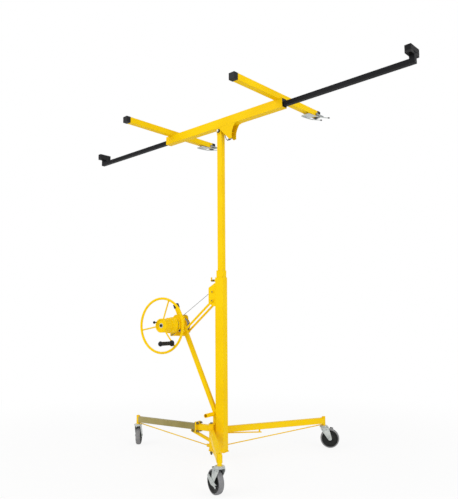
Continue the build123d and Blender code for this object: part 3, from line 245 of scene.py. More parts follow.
def enamel(name, deep, bright, rubbed, rough, band=None):
    """Sprayed enamel on steel: slow drift of tone, fine peel, thin paint on edges, dust low down.
    A band gives an axis, the stretch along it that has this enamel, and the tone outside it."""
    coat = Finish(name, Specular_IOR_Level=0.07)
    place = coat.place()
    drift = coat.noise(place, scale=3.5, detail=3.0)
    mottle = coat.noise(place, scale=60.0, detail=4.0, rough=0.6)
    peel = coat.noise(place, scale=260.0, detail=1.0)
    rounded_normal, edge = coat.edges(width=0.0014)
    rub = edge.rise(0.03, 0.22) * mottle.rise(0.42, 0.62)
    height = coat.along(place, "Z")
    dust = (1 - height.rise(0.03, 0.28)) * mottle.rise(0.35, 0.75) * 0.12
    colour = coat.mix(drift.rise(0.3, 0.7), deep, bright)
    colour = coat.mix(rub * 0.22, colour, rubbed)
    if band:
        axis, low, high, tone = band
        blur = 0.001
        reach = coat.along(place, axis)
        outside = (1 - reach.rise(low - blur, low + blur)) + reach.rise(high - blur, high + blur)
        colour = coat.mix(outside, colour, tone)
    colour = coat.mix(dust, colour, tint(196, 190, 178))
    uneven = rough + 0.10 * mottle + 0.5 * dust + 0.12 * rub
    coat.set({"Base Color": colour, "Roughness": uneven})
    coat.relief(peel, depth=0.00002, normal=rounded_normal, strength=0.2)
    return coat.material


def zinc(name, deep, bright, rough, metal=1.0):
    """Zinc plate: cloudy passivation, fine drawn lines, paler worn edges."""
    plate = Finish(name, Metallic=metal)
    place = plate.place()
    cloud = plate.noise(place, scale=24.0, detail=4.0, rough=0.6)
    lines = plate.noise(plate.stretched(place, (900.0, 900.0, 40.0)), scale=1.0)
    rounded_normal, edge = plate.edges(width=0.0008)
    colour = plate.mix(cloud.rise(0.3, 0.7), deep, bright)
    colour = plate.mix(edge.rise(0.03, 0.25) * 0.5, colour, tint(226, 228, 226))
    plate.set({"Base Color": colour, "Roughness": rough + 0.16 * cloud + 0.08 * lines})
    plate.relief(lines, depth=0.00004, normal=rounded_normal, strength=0.4)
    return plate.material


def moulded(name, deep, bright, rough, grain):
    """Moulded plastic or rubber: fine grain, scuffs a little paler, soft edges."""
    skin = Finish(name, Specular_IOR_Level=0.22)
    place = skin.place()
    speck = skin.noise(place, scale=grain)
    patches = skin.stretched(place, (40.0, 70.0, 55.0))
    scuff = skin.noise(patches, scale=1.0, detail=5.0, rough=0.65)
    rounded_normal, edge = skin.edges(width=0.0016)
    worn = scuff.rise(0.5, 0.75) * 0.5 + edge.rise(0.03, 0.25) * 0.35
    skin.set({"Base Color": skin.mix(worn, deep, bright), "Roughness": rough + 0.12 * scuff})
    skin.relief(speck, depth=0.00015, normal=rounded_normal, strength=0.6)
    return skin.material


def rope_steel(name):
    """Galvanised wire strands: fine wires across the strand, dark grease in patches."""
    wire = Finish(name, Metallic=0.9)
    place = wire.place()
    fine_wires = wire.noise(place, scale=2600.0)
    grime = wire.noise(place, scale=140.0, detail=4.0)
    colour = wire.mix(grime.rise(0.3, 0.7), tint(112, 113, 116), tint(176, 178, 182))
    wire.set({"Base Color": colour, "Roughness": 0.3 + 0.25 * grime})
    wire.relief(fine_wires, depth=0.0001, strength=0.7)
    return wire.material


YELLOW_TONES = (tint(246, 201, 0), tint(252, 211, 2), tint(255, 224, 64))
ENAMEL_ROUGH = 0.38
yellow = enamel("yellow_enamel", *YELLOW_TONES, ENAMEL_ROUGH)
# Rear leg: its middle is painted a dark grey-olive as painted shade on the yellow leg; the band keeps
# both ends yellow
leg_shade_band = ("X", *REAR_LEG_SHADE_STRETCH, tint(250, 204, 4))
leg_shade_tones = (tint(144, 133, 80), tint(168, 156, 106), tint(192, 182, 132))
leg_shade_enamel = enamel("rear_leg_painted_shade", *leg_shade_tones, ENAMEL_ROUGH, leg_shade_band)
shaft_band = ("Y", *SHAFT_PAINT, tint(30, 30, 31))
shaft_yellow = enamel("shaft_enamel", *YELLOW_TONES, ENAMEL_ROUGH, shaft_band)
black_coat = enamel("black_enamel", tint(22, 22, 24), tint(29, 29, 32), tint(74, 74, 76), rough=0.42)
bright_zinc = zinc("bright_zinc", tint(172, 177, 175), tint(204, 208, 205), rough=0.30, metal=0.7)
dull_zinc = zinc("dull_zinc", tint(132, 136, 136), tint(168, 172, 170), rough=0.36)
gold_zinc = zinc("gold_zinc", tint(122, 104, 44), tint(182, 160, 84), rough=0.34)
olive_zinc = zinc("olive_zinc", tint(84, 80, 54), tint(140, 136, 102), rough=0.36, metal=0.8)
dark_zinc = zinc("dark_zinc", tint(66, 60, 44), tint(104, 96, 72), rough=0.38)
black_moulding = moulded("black_moulding", tint(18, 18, 19), tint(42, 42, 44), rough=0.46, grain=900.0)
black_wheel = moulded("black_wheel", tint(26, 27, 26), tint(46, 47, 46), rough=0.42, grain=700.0)
grey_rubber = moulded("grey_rubber", tint(134, 134, 136), tint(162, 162, 164), rough=0.58, grain=500.0)
cream_nylon = moulded("cream_nylon", tint(216, 214, 198), tint(238, 236, 224), rough=0.5, grain=600.0)
dark_nylon = moulded("dark_nylon", tint(52, 52, 54), tint(72, 72, 74), rough=0.5, grain=600.0)
strands = rope_steel("wire_strands")

FINISHES = {
    yellow: "outer_mast mid_mast inner_mast tripod_hub front_leg right_leg rear_brace winch_post"
    " brace_bars mast_bracket winch_frame rope_drum brake_cover wheel_hub handwheel tilt_block saddle"
    " cradle_beam cross_arms rear_tie_rod front_tie_rod right_tie_rod mast_latch frame_bolts",
    leg_shade_enamel: "rear_leg",
    shaft_yellow: "winch_shaft",
    black_coat: "left_end_arm right_end_arm",
    bright_zinc: "front_caster_fork right_caster_fork rear_caster_fork"
    " mast_sheave low_sheave top_sheave brake_pedal",
    dull_zinc: "left_hook right_hook",
    # The ratchet wheel's darker gold zinc is partly its plating and partly painted shade, for the shade
    # between the brake cover and the plate
    gold_zinc: "ratchet_wheel brake_pawl",
    olive_zinc: "base_bolts",
    dark_zinc: "tilt_lock tilt_bolt",
    black_moulding: "crank_grip brake_knob post_cap arm_caps beam_bushes",
    black_wheel: "front_caster_wheel right_caster_wheel rear_caster_wheel",
    grey_rubber: "front_caster_tyre right_caster_tyre rear_caster_tyre",
    dark_nylon: "mid_guide_shoe inner_guide_shoe",
    strands: "cable_lead cable_fall cable_loop cable_end drum_wraps",
}
for finish, names in FINISHES.items():
    for name in names.split():
        nodes[name].data.materials.clear()
        nodes[name].data.materials.append(finish)


# Surfaces
def unit(vector):
    """Vectors of any array made one long."""
    return vector / np.linalg.norm(vector, axis=-1, keepdims=True)


NEARLY_UPRIGHT = 0.9


def axes_about(axis):
    """An axis made one long, and two directions square to it and to each other."""
    axis = unit(np.asarray(axis, float))
    side = unit(np.cross(axis, UP if abs(axis[2]) < NEARLY_UPRIGHT else X))
    return axis, side, np.cross(axis, side)


def wheel_way(angle):
    """Directions in the handwheel's plane, at angles from X towards UP."""
    return np.stack([np.cos(angle), 0 * angle, np.sin(angle)], -1)


def turn_cradle(x, y, z):
    """Places in the turned cradle's own axes as places in the frame."""
    across, along = sin(CRADLE_TURN), cos(CRADLE_TURN)
    return np.array([x * along - y * across, x * across + y * along, z])


def quads(rows, columns, close_rows=False, close_columns=False):
    """The four corners of each cell in a grid of points that is stored row after row."""
    row, column = np.meshgrid(
        np.arange(rows - (not close_rows)), np.arange(columns - (not close_columns)), indexing="ij"
    )
    here, below = row * columns, (row + 1) % rows * columns
    beside = (column + 1) % columns
    corners = (here + column, here + beside, below + beside, below + column)
    return np.stack(corners, -1).reshape(-1, 4)


def fans(first, count, tip, flip):
    """Triangles from a ring of points to one point."""
    ring = np.arange(count)
    around = (first + ring, first + (ring + 1) % count, np.full(count, tip))
    return np.stack(around[::-1] if flip else around, -1)


def carried(path, outline, across, closed=False):
    """A closed outline carried along a path. At each point of the path the outline lies in the plane
    across it, its first axis as near as can be to the direction across. Fans close open ends."""
    if closed:
        along = unit(np.roll(path, -1, 0) - np.roll(path, 1, 0))
    else:
        along = unit(np.gradient(path, axis=0))
    side = np.broadcast_to(across, path.shape)
    side = unit(side - (side * along).sum(-1, keepdims=True) * along)
    over = np.cross(along, side)
    outline = np.broadcast_to(outline, (len(path), *outline.shape[-2:]))
    points = path[:, None] + outline[..., :1] * side[:, None] + outline[..., 1:] * over[:, None]
    rows, columns = points.shape[:2]
    points = points.reshape(-1, 3)
    faces = quads(rows, columns, closed, True).tolist()
    if not closed:
        last = (rows - 1) * columns
        faces += fans(0, columns, len(points), True).tolist()
        faces += fans(last, columns, len(points) + 1, False).tolist()
        points = np.concatenate([points, path[:1], path[-1:]])
    return points, faces


def turned(profile, center, axis, steps):
    """A closed profile of radius and height turned about an axis."""
    axis, side, over = axes_about(axis)
    profile = np.asarray(profile, float)
    angle = np.linspace(0, 2 * pi, steps, endpoint=False)[:, None, None]
    ring = np.cos(angle) * side + np.sin(angle) * over
    points = np.asarray(center) + profile[None, :, :1] * ring + profile[None, :, 1:] * axis
    return points.reshape(-1, 3), quads(steps, len(profile), True, True)[:, ::-1].tolist()


def joined(shapes):
    """Several shapes as one, with their faces renumbered."""
    faces = []
    first = 0
    for some_points, some_faces in shapes:
        faces += [[corner + first for corner in face] for face in some_faces]
        first += len(some_points)
    return np.concatenate([some_points for some_points, _ in shapes]), faces


def circle(radius, count):
    """Points of a circle, the first one on the first axis."""
    angle = np.linspace(0, 2 * pi, count, endpoint=False)
    return radius * np.stack([np.cos(angle), np.sin(angle)], -1)


def rounded(points, radius, steps=4):
    """A closed outline with each corner replaced by a curve, which takes up less than half of a side."""
    points = np.asarray(points, float)
    before = np.roll(points, 1, 0) - points
    after = np.roll(points, -1, 0) - points
    shorter = np.minimum(np.linalg.norm(before, axis=1), np.linalg.norm(after, axis=1))
    reach = np.minimum(radius, 0.45 * shorter)[:, None]
    start = points + unit(before) * reach
    end = points + unit(after) * reach
    share = np.linspace(0, 1, steps)[None, :, None]
    bent = (1 - share) ** 2 * start[:, None] + 2 * share * (1 - share) * points[:, None]
    return (bent + share**2 * end[:, None]).reshape(-1, 2)


SIGNS = np.array([(-1, -1), (1, -1), (1, 1), (-1, 1)])
HEXAGON, RIVET_ROUND, ROUND, WASHER_ROUND, BROAD_ROUND, WHEEL_ROUND = 6, 20, 24, 32, 64, 96


def bar_outline(half_width, half_height, radius):
    """A rectangle with rounded corners."""
    return rounded(SIGNS * (half_width, half_height), radius)


def piece(name, shape, body, finish, sharp=40.0):
    """A finished piece at the origin: mesh, smooth shading with sharp edges, finish and body."""
    points, faces = shape
    mesh = bpy.data.meshes.new(name)
    mesh.from_pydata(points.tolist(), [], faces)
    shell = bmesh.new()
    shell.from_mesh(mesh)
    bmesh.ops.recalc_face_normals(shell, faces=shell.faces)
    shell.to_mesh(mesh)
    shell.free()
    mesh.polygons.foreach_set("use_smooth", np.ones(len(mesh.polygons), bool))
    mesh.set_sharp_from_angle(angle=radians(sharp))
    mesh.materials.append(finish)
    made = bpy.data.objects.new(name, mesh)
    bpy.context.scene.collection.objects.link(made)
    if body:
        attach(made, body)
    return made


def smooth_line(points):
    """Points along the smooth spline that has the given control points."""
    curve = bpy.data.curves.new("route", "CURVE")
    curve.dimensions = "3D"
    spline = curve.splines.new("NURBS")
    spline.points.add(len(points) - 1)
    spline.points.foreach_set("co", np.concatenate([points, np.ones((len(points), 1))], 1).ravel())
    spline.order_u = 3
    spline.use_endpoint_u = True
    spline.resolution_u = 16
    holder = bpy.data.objects.new("route", curve)
    bpy.context.scene.collection.objects.link(holder)
    bpy.context.view_layer.update()
    mesh = bpy.data.meshes.new_from_object(holder)
    line = np.empty(len(mesh.vertices) * 3)
    mesh.vertices.foreach_get("co", line)
    bpy.data.objects.remove(holder)
    bpy.data.meshes.remove(mesh)
    bpy.data.curves.remove(curve)
    return line.reshape(-1, 3)


# Rope: a strand outline of six lobes that twists along the route
ROPE_SAMPLE, ROPE_LAY = 0.0022, 0.026
STRAND_SEAT, STRAND = 0.655 * ROPE, 0.345 * ROPE  # a strand's distance from the middle, and its radius
STRANDS, ROPE_SIDES, ROPE_SHARP = 6, 36, 70
LEAD_START = 0.004
DRUM_HOLD, SHEAVE_HOLD = 0.03, 0.024  # how far from the drum and the sheave the lead is held straight
BEND_POINTS, COIL_POINTS = 6, 12
COIL_SHARE = 0.9662  # radius of a smooth coil as a share of its control points' radius


def laid_rope(line, across):
    """Rope along a line: six strands side by side, whose outline turns once in each lay length."""
    run = np.concatenate([[0], np.cumsum(np.linalg.norm(np.diff(line, axis=0), axis=1))])
    even = np.linspace(0, run[-1], int(run[-1] / ROPE_SAMPLE) + 2)
    path = np.stack([np.interp(even, run, line[:, axis]) for axis in range(3)], -1)
    around = np.linspace(0, 2 * pi, ROPE_SIDES, endpoint=False)
    lobe = around % (2 * pi / STRANDS) - pi / STRANDS
    hollow = np.maximum(STRAND**2 - (STRAND_SEAT * np.sin(lobe)) ** 2, 0)
    reach = STRAND_SEAT * np.cos(lobe) + np.sqrt(hollow)
    turn = around[None] + 2 * pi * even[:, None] / ROPE_LAY
    outline = np.stack([reach * np.cos(turn), reach * np.sin(turn)], -1)
    return carried(path, outline, across)


def rope(name, points, across, body, node):
    """A length of laid rope along a smooth line, in place of a plain rope solid."""
    shape = laid_rope(smooth_line(np.asarray(points, float)), across)
    made = piece(name, shape, body, strands, ROPE_SHARP)
    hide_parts(node)
    return made


def half_round(first, last, way):
    """Control points of a half turn from one point to another: the corners of a half octagon round the
    circle between them, which bulges towards a direction."""
    center, out = (first + last) / 2, (first - last) / 2
    radius = np.linalg.norm(out)
    angle = np.radians([22.5, 67.5, 112.5, 157.5])[:, None]
    return list(center + (np.cos(angle) * out + np.sin(angle) * radius * way) / cos(pi / 8))


# Lead: straight from the drum, then round the mast sheave into the mast
slope = atan2(SHEAVE[2] - WINCH[2], SHEAVE[0] - WINCH[0])
apart = hypot(SHEAVE[2] - WINCH[2], SHEAVE[0] - WINCH[0])
lead_angle = slope - asin((DRUM_PITCH - SHEAVE_PITCH) / apart)
lead_along, lead_over = wheel_way(lead_angle), wheel_way(lead_angle + pi / 2)
off_drum = WINCH + ROPE_Y * Y + DRUM_PITCH * lead_over
on_sheave = SHEAVE + ROPE_Y * Y + SHEAVE_PITCH * lead_over
fall_top = np.array([SHEAVE[0] + SHEAVE_PITCH, ROPE_Y, SHEAVE[2]])
bend, bend_step = np.linspace(lead_angle + pi / 2, 0, BEND_POINTS, endpoint=False, retstep=True)
bend_pitch = SHEAVE_PITCH / cos(bend_step / 2)
bend_points = SHEAVE + ROPE_Y * Y + bend_pitch * wheel_way(bend + bend_step / 2)
lead_end = off_drum + LEAD_START * lead_along
lead_points = [lead_end, off_drum + DRUM_HOLD * lead_along]
lead_points += [on_sheave - SHEAVE_HOLD * lead_along, on_sheave]
rope("rope_lead", lead_points + list(bend_points) + [fall_top], Y, "base", "cable_lead")

# Winding: turns side by side on the drum, from the far one to the one that the lead leaves
turns = np.linspace(DRUM_LOOPS, 0, COIL_POINTS * DRUM_LOOPS + 1)
wrap = wheel_way(lead_angle + pi / 2 + 2 * pi * turns) * DRUM_PITCH / COIL_SHARE
wrap += WINCH + ROPE_Y * Y + ROPE_STEP * turns[:, None] * Y
wrap[0] = off_drum + ROPE_STEP * DRUM_LOOPS * Y
wrap[-1] = off_drum
rope("rope_winding", np.concatenate([wrap, [lead_end]]), Y, "winch", "drum_wraps")

# Fall in the outer tube, loop round the middle tube's two sheaves, and end at the inner tube's lug
fall_low = np.array([FALL_X, ROPE_Y, LOW_SHEAVE_Z])
loop_low = np.array([LOOP_X, LOOP_UP_Y, LOW_SHEAVE_Z])
loop_high = np.array([LOOP_X, LOOP_UP_Y, TOP_SHEAVE_Z])
loop_down = np.array([LOOP_X, LOOP_DOWN_Y, TOP_SHEAVE_Z])
rope_fall = rope("rope_fall", [fall_top, (fall_top + fall_low) / 2, fall_low], Y, "mid", "cable_fall")
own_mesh(rope_fall)
loop_points = [fall_low, *half_round(fall_low, loop_low, -UP), loop_low, (loop_low + loop_high) / 2]
loop_points += [loop_high, *half_round(loop_high, loop_down, UP), loop_down]
rope("rope_loop", loop_points, X, "mid", "cable_loop")
lug = np.array([LOOP_X, LOOP_DOWN_Y, ROPE_END_Z])
rope_end = rope("rope_end", [loop_down, (loop_down + lug) / 2, lug], X, None, "cable_end")
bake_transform(rope_end)
FERRULE = [(0.0019, 0), (0.0026, 0), (0.0028, 0.0008)]
FERRULE += [(0.0028, 0.0072), (0.0026, 0.008), (0.0019, 0.008)]
ferrule_place = (LOOP_X, LOOP_DOWN_Y, FERRULE_Z)
piece("rope_ferrule", turned(FERRULE, ferrule_place, UP, ROUND), "inner", dull_zinc)

# Weld beads, gathered into one piece for each body
WIDE_BEAD, BEAD, EAR_BEAD = 0.0032, 0.003, 0.0028
NARROW_BEAD, FINE_BEAD, ROD_BEAD = 0.0026, 0.0025, 0.0022
RIPPLE, BEAD_STEP, RING_STEP = 0.0034, 0.0012, 0.0014
BEAD_LEAST, BEAD_SWELL, BEAD_DRAWN, BEAD_SIDES = 0.92, 0.14, 0.04, 8


def swell(place):
    """Thickness of a bead against its mean, at places counted in ripples."""
    return BEAD_LEAST + BEAD_SWELL * np.abs(np.sin(pi * place))


def bead(start, end, size=BEAD):
    """A weld bead: a round section along a line, swelling at each ripple and drawn in at both ends."""
    start, end = np.asarray(start, float), np.asarray(end, float)
    length = np.linalg.norm(end - start)
    share = np.linspace(0, 1, max(10, int(length / BEAD_STEP)))
    draw = np.sqrt(np.clip(np.minimum(share, 1 - share) * length / size, BEAD_DRAWN, 1))
    outline = (swell(share * length / RIPPLE) * draw)[:, None, None] * circle(size, BEAD_SIDES)
    across = UP if abs((end - start)[2]) < NEARLY_UPRIGHT * length else X
    return carried(start + share[:, None] * (end - start), outline, across)


def upright_bead(x, y, low, high, size=BEAD):
    """A bead straight up from one height to another."""
    return bead((x, y, low), (x, y, high), size)


def level_bead(x, half, height, size=BEAD):
    """A level bead along Y, with its middle at Y 0."""
    return bead((x, -half, height), (x, half, height), size)


def ring_bead(center, axis, radius, size=BEAD):
    """A weld bead round a pipe, with the same ripples."""
    axis, side, over = axes_about(axis)
    count = max(24, int(2 * pi * radius / RING_STEP))
    angle = np.linspace(0, 2 * pi, count, endpoint=False)
    path = np.cos(angle)[:, None] * side + np.sin(angle)[:, None] * over
    outline = swell(angle * round(2 * radius / RIPPLE) / pi)[:, None, None] * circle(size, BEAD_SIDES)
    return carried(np.asarray(center) + radius * path, outline, axis, True)


def box_loop(place, first, second, half_first, half_second, size=BEAD):
    """Beads round a rectangular tube: its centre, two directions across it and its half sides."""
    place = np.asarray(place, float)
    corners = [place + a * half_first * first + b * half_second * second for a, b in SIGNS]
    return [bead(start, end, size) for start, end in zip(corners, np.roll(corners, -1, 0))]


TIE_LUG_HALF, TIE_LUG_LOW, TIE_LUG_HIGH = 0.004, 0.060, 0.078
EAR_EDGES = (0.0585, 0.2165)
CROSS_TUBE_X, CROSS_TUBE_WELD = -0.0616, 0.2685
POST_FOOT = ((-0.0690, 0.2865), (-0.0480, 0.2955))
POST_MAST_X, POST_MAST_LOW, POST_MAST_HIGH = -0.0371, 0.290, 0.322
HUB_WELD_LOW = 0.052
welds = []
for side in (-1, 1):
    welds.append(upright_bead(-MAST_BACK, side * TRIPOD_HALF, HUB_WELD_LOW, TRIPOD_HIGH, WIDE_BEAD))
    welds.append(upright_bead(-MAST_BACK, side * MAST_HALF, CHEEK_LOW, CHEEK_HIGH, NARROW_BEAD))
    welds.append(upright_bead(-TRIPOD_BACK, side * TIE_LUG_HALF, TIE_LUG_LOW, TIE_LUG_HIGH, FINE_BEAD))
for ear_edge in EAR_EDGES:
    welds.append(level_bead(-TRIPOD_BACK, TRIPOD_HALF, ear_edge, EAR_BEAD))
welds.append(level_bead(CROSS_TUBE_X, TRIPOD_HALF, CROSS_TUBE_WELD))
for y in POST_FACES:
    welds.append(bead(*((x, y, z) for x, z in POST_FOOT)))
    welds.append(upright_bead(POST_MAST_X, y, POST_MAST_LOW, POST_MAST_HIGH))
welds += box_loop((-TRIPOD_BACK, 0, LEG_Z), Y, UP, LEG_HALF_WIDTH, LEG_HALF_HEIGHT)
welds += box_loop((FLANGE_X + FLANGE, 0, LEG_Z), Y, UP, LEG_HALF_WIDTH, LEG_HALF_HEIGHT)
welds += box_loop((MAST_MIDDLE, 0, MAST_FOOT), X, Y, MAST_HALF_DEPTH, MAST_HALF)
welds.append(ring_bead(WINCH + PLATE_FRONT * Y, Y, BOSS_RADIUS))
piece("frame_welds", joined(welds), "base", yellow)

PIPE_WELD_HALF = 0.0105
rear_welds = box_loop((FLANGE_X - FLANGE, 0, LEG_Z), Y, UP, LEG_HALF_WIDTH, LEG_HALF_HEIGHT)
rear_welds += box_loop((REAR_PIPE_WELD_X, 0, LEG_Z), Y, UP, PIPE_WELD_HALF, LEG_HALF_HEIGHT, FINE_BEAD)
piece("rear_leg_welds", joined(rear_welds), "base", leg_shade_enamel)

# Folding legs: welds, the flat stay under the leg, and the catch at the stay's end
BARREL_WELD, BARREL_WELD_HALF, PIPE_WELD = 0.0145, 0.0120, 0.0115
TIE_WELD_RADIUS, TIE_LOW_EYE, TIE_HIGH_EYE = 0.0038, 0.0152, 0.0128
STAY_REACH = np.array([0.030, 0.06, 0.12, 0.18, 0.24, 0.30])[:, None]
STAY_DROP = np.linspace(-0.0025, 0.0165, 6)[:, None]
STAY_OUTLINE = bar_outline(0.006, 0.0035, 0.0015)
STAY_GAP = 0.0037
CATCH_REACH = np.array([0.283, 0.285, 0.289, 0.291])[:, None]
CATCH_DROP = 0.0058
CATCH_OUTLINE = bar_outline(0.005, 0.0105, 0.002)
for side, name in ((-1, "front"), (1, "right")):
    flip = np.array([1, side, 1])
    start = (HINGE + (LEG_Z - LEG_RISE) * UP) * flip
    end = (SIDE_STEM + LEG_Z * UP) * flip
    along = unit(end - start)
    level = unit(np.cross(along, UP))
    over = np.cross(level, along)
    leg_welds = box_loop(start + BARREL_WELD * along, level, over, BARREL_WELD_HALF, LEG_HALF_HEIGHT)
    pipe_place = end - PIPE_WELD * along
    leg_welds += box_loop(pipe_place, level, over, PIPE_WELD_HALF, LEG_HALF_HEIGHT, FINE_BEAD)
    tie_low, tie_high = (HINGE + TIE_LOW) * flip, (SIDE_STEM + TIE_HIGH) * flip
    tie = unit(tie_high - tie_low)
    leg_welds.append(ring_bead(tie_low + TIE_LOW_EYE * tie, tie, TIE_WELD_RADIUS, ROD_BEAD))
    leg_welds.append(ring_bead(tie_high - TIE_HIGH_EYE * tie, tie, TIE_WELD_RADIUS, ROD_BEAD))
    piece(name + "_leg_welds", joined(leg_welds), name + "_leg", yellow)
    under = start - (LEG_HALF_HEIGHT + STAY_GAP) * over
    stay = carried(under + STAY_REACH * along - STAY_DROP * over, STAY_OUTLINE, level)
    piece(name + "_leg_stay", stay, name + "_leg", yellow)
    catch = carried(under + CATCH_REACH * along - CATCH_DROP * over, CATCH_OUTLINE, level)
    piece(name + "_leg_catch", catch, name + "_leg", yellow)

# Fasteners: profiles of radius and height, and washers of inner radius, outer radius and thickness.
# CORE is the radius at which a solid one closes on its axis, and TOUCH keeps two faces apart
CORE = 0.0001
TOUCH = 0.0001
BRACKET_WASHER = (0.0052, 0.0105, 0.0014)
HINGE_WASHER = (0.0062, 0.0125, 0.0016)
FLANGE_WASHER = (0.0042, 0.0092, 0.0013)
HUB_WASHER = (0.0102, 0.0158, 0.0022)
PLATE_WASHER = (0.0042, 0.0108, 0.0018)
HOOK_HEAD = (0.0006, 0.0075, 0.0016)
# Washers under the tilt bolt's ends, in dark zinc as a painted shadow of the bolt's head and nut
TILT_SHADOW_WASHER = (0.0108, 0.0155, 0.0022)
# Dark disc on a bolt head in place of its socket recess: painted shade of the hollow
BOLT_SOCKET_SHADE = [(CORE, 0.0001), (0.0050, 0.0001), (0.0046, 0.0007), (0.0040, 0.0007)]
BOLT_SOCKET_SHADE += [(0.0034, 0.0003), (CORE, 0.0003)]
HINGE_NUT = [(CORE, 0), (0.0090, 0), (0.0094, 0.0006)]
HINGE_NUT += [(0.0094, 0.0064), (0.0080, 0.0074), (CORE, 0.0074)]
HINGE_TAIL = [(CORE, 0), (0.0056, 0), (0.0056, 0.0110), (0.0044, 0.0130), (CORE, 0.0134)]
PLATE_BOLT = [(CORE, 0), (0.0074, 0), (0.0076, 0.0006)]
PLATE_BOLT += [(0.0076, 0.0052), (0.0066, 0.0062), (CORE, 0.0064)]
TILT_NUT = [(CORE, 0), (0.0086, 0), (0.0090, 0.0006)]
TILT_NUT += [(0.0090, 0.0046), (0.0078, 0.0056), (CORE, 0.0058)]


def washer(center, axis, inner, outer, thick):
    """A flat ring with broken edges, standing on a point along an axis."""
    edge = 0.25 * thick
    ring = [(inner, 0), (outer - edge, 0), (outer, edge)]
    ring += [(outer, thick - edge), (outer - edge, thick), (inner, thick)]
    return turned(ring, center, axis, WASHER_ROUND)


washers, sockets = [], []
for place, face in ((SHEAVE, MAST_HALF), (BAR_HIGH, BAR_FACE), (BAR_LOW, BAR_FACE)):
    for side in (-1, 1):
        washers.append(washer(place + side * (TOUCH + face) * Y, side * Y, *BRACKET_WASHER))
        sockets.append(turned(BOLT_SOCKET_SHADE, place + side * (BOLT_HEAD + face) * Y, side * Y, ROUND))
piece("bracket_washers", joined(washers), "base", yellow)
# Dark discs on the bracket bolts' heads: painted shade of their socket recesses
piece("bolt_socket_shades", joined(sockets), "base", dark_zinc)
washers, tails = [], []
for side in (-1, 1):
    hinge = HINGE * np.array([1, side, 0])
    for height, way in ((HINGE_TOP, UP), (HINGE_FOOT, -UP)):
        washers.append(washer(hinge + height * UP, way, *HINGE_WASHER))
    tails.append(turned(HINGE_NUT, hinge + HINGE_NUT_Z * UP, -UP, HEXAGON))
    tails.append(turned(HINGE_TAIL, hinge + HINGE_TAIL_Z * UP, -UP, ROUND))
    for level in (-1, 1):
        bolt = np.array([FLANGE_X, side * FLANGE_BOLT_Y, LEG_Z + level * FLANGE_BOLT_Z])
        for way in (-X, X):
            washers.append(washer(bolt + (FLANGE + TOUCH) * way, way, *FLANGE_WASHER))
piece("frame_washers", joined(washers), "base", gold_zinc)
piece("hinge_tails", joined(tails), "base", dark_zinc)
hub_face = WINCH + (WHEEL_HUB_FRONT + WHEEL_HUB_RECESS) * Y
piece("hub_washer", washer(hub_face, -Y, *HUB_WASHER), "winch", bright_zinc)

# Bolt on the winch plate beside the boss
PLATE_BOLT_X, PLATE_BOLT_Z, PLATE_BOLT_STAND = -0.3435, 0.8215, 0.0016
spot = np.array([PLATE_BOLT_X, PLATE_FRONT, PLATE_BOLT_Z])
plate_bolt = turned(PLATE_BOLT, spot - PLATE_BOLT_STAND * Y, -Y, HEXAGON)
piece("plate_bolt", plate_bolt, "base", dark_zinc)
piece("plate_washer", washer(spot, -Y, *PLATE_WASHER), "base", bright_zinc)

# Rolled rim of the brake cover, at its end next to the ratchet wheel
RIM = [(0.0002, 0), (0.0036, 0), (0.0046, 0.0010), (0.0046, 0.0066), (0.0036, 0.0078), (0.0002, 0.0086)]
cover_rim = turned(np.array(RIM) + (COVER_RADIUS, 0), WINCH + COVER_END * Y, -Y, WHEEL_ROUND)
piece("cover_rim", cover_rim, "winch", yellow)

# Handwheel: weld collars where the spokes meet the hub and the rim
COLLAR_RADIUS, HUB_ROOT, RIM_ROOT = 0.0052, 0.0003, 0.0078
collars = []
for outward in wheel_way(SPOKES):
    for reach in (WHEEL_HUB + HUB_ROOT, WHEEL_RADIUS - RIM_ROOT):
        root = WINCH + WHEEL_Y * Y + reach * outward
        collars.append(ring_bead(root, outward, COLLAR_RADIUS, ROD_BEAD))
piece("wheel_welds", joined(collars), "winch", yellow)

# Crank grip: a turned handle with finger ribs between a wide inner collar and a round end
GRIP_START, GRIP_END, GRIP_RADIUS = 0.014, 0.108, 0.0128
RIB_STEP, RIB_HEIGHT, GRIP_WAIST, GRIP_SAMPLES = 0.0078, 0.0008, 0.0006, 96
GRIP_COLLAR = [(0.0061, 0), (0.0188, 0), (0.0200, 0.0012)]
GRIP_COLLAR += [(0.0200, 0.0048), (0.0186, 0.0070), (0.0150, 0.0100)]
GRIP_KNOB = [(0.0146, 0.1110), (0.0165, 0.1140), (0.0170, 0.1165), (0.0162, 0.1200), (0.0140, 0.1220)]
GRIP_KNOB += [(0.0108, 0.1226), (0.0104, 0.1280), (0.0088, 0.1304), (0.0050, 0.1312), (CORE, 0.1314)]
GRIP_KNOB += [(CORE, 0.1306), (0.0061, 0.1296)]
run = np.linspace(GRIP_START, GRIP_END, GRIP_SAMPLES)
along = (run - (GRIP_START + GRIP_END) / 2) / (GRIP_END - GRIP_START)
ribs = RIB_HEIGHT * np.abs(np.sin(pi * run / RIB_STEP))
ribbed = GRIP_RADIUS + ribs - GRIP_WAIST * np.cos(pi * along)
grip_profile = np.concatenate([GRIP_COLLAR, np.stack([ribbed, run], -1), GRIP_KNOB])
grip_place = WINCH + GRIP_REACH * wheel_way(SPOKES[2]) + GRIP_FACE * Y
grip_shape = turned(grip_profile, grip_place, -Y, BROAD_ROUND)
grip = piece("grip_handle", grip_shape, "grip", black_moulding)
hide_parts("crank_grip")

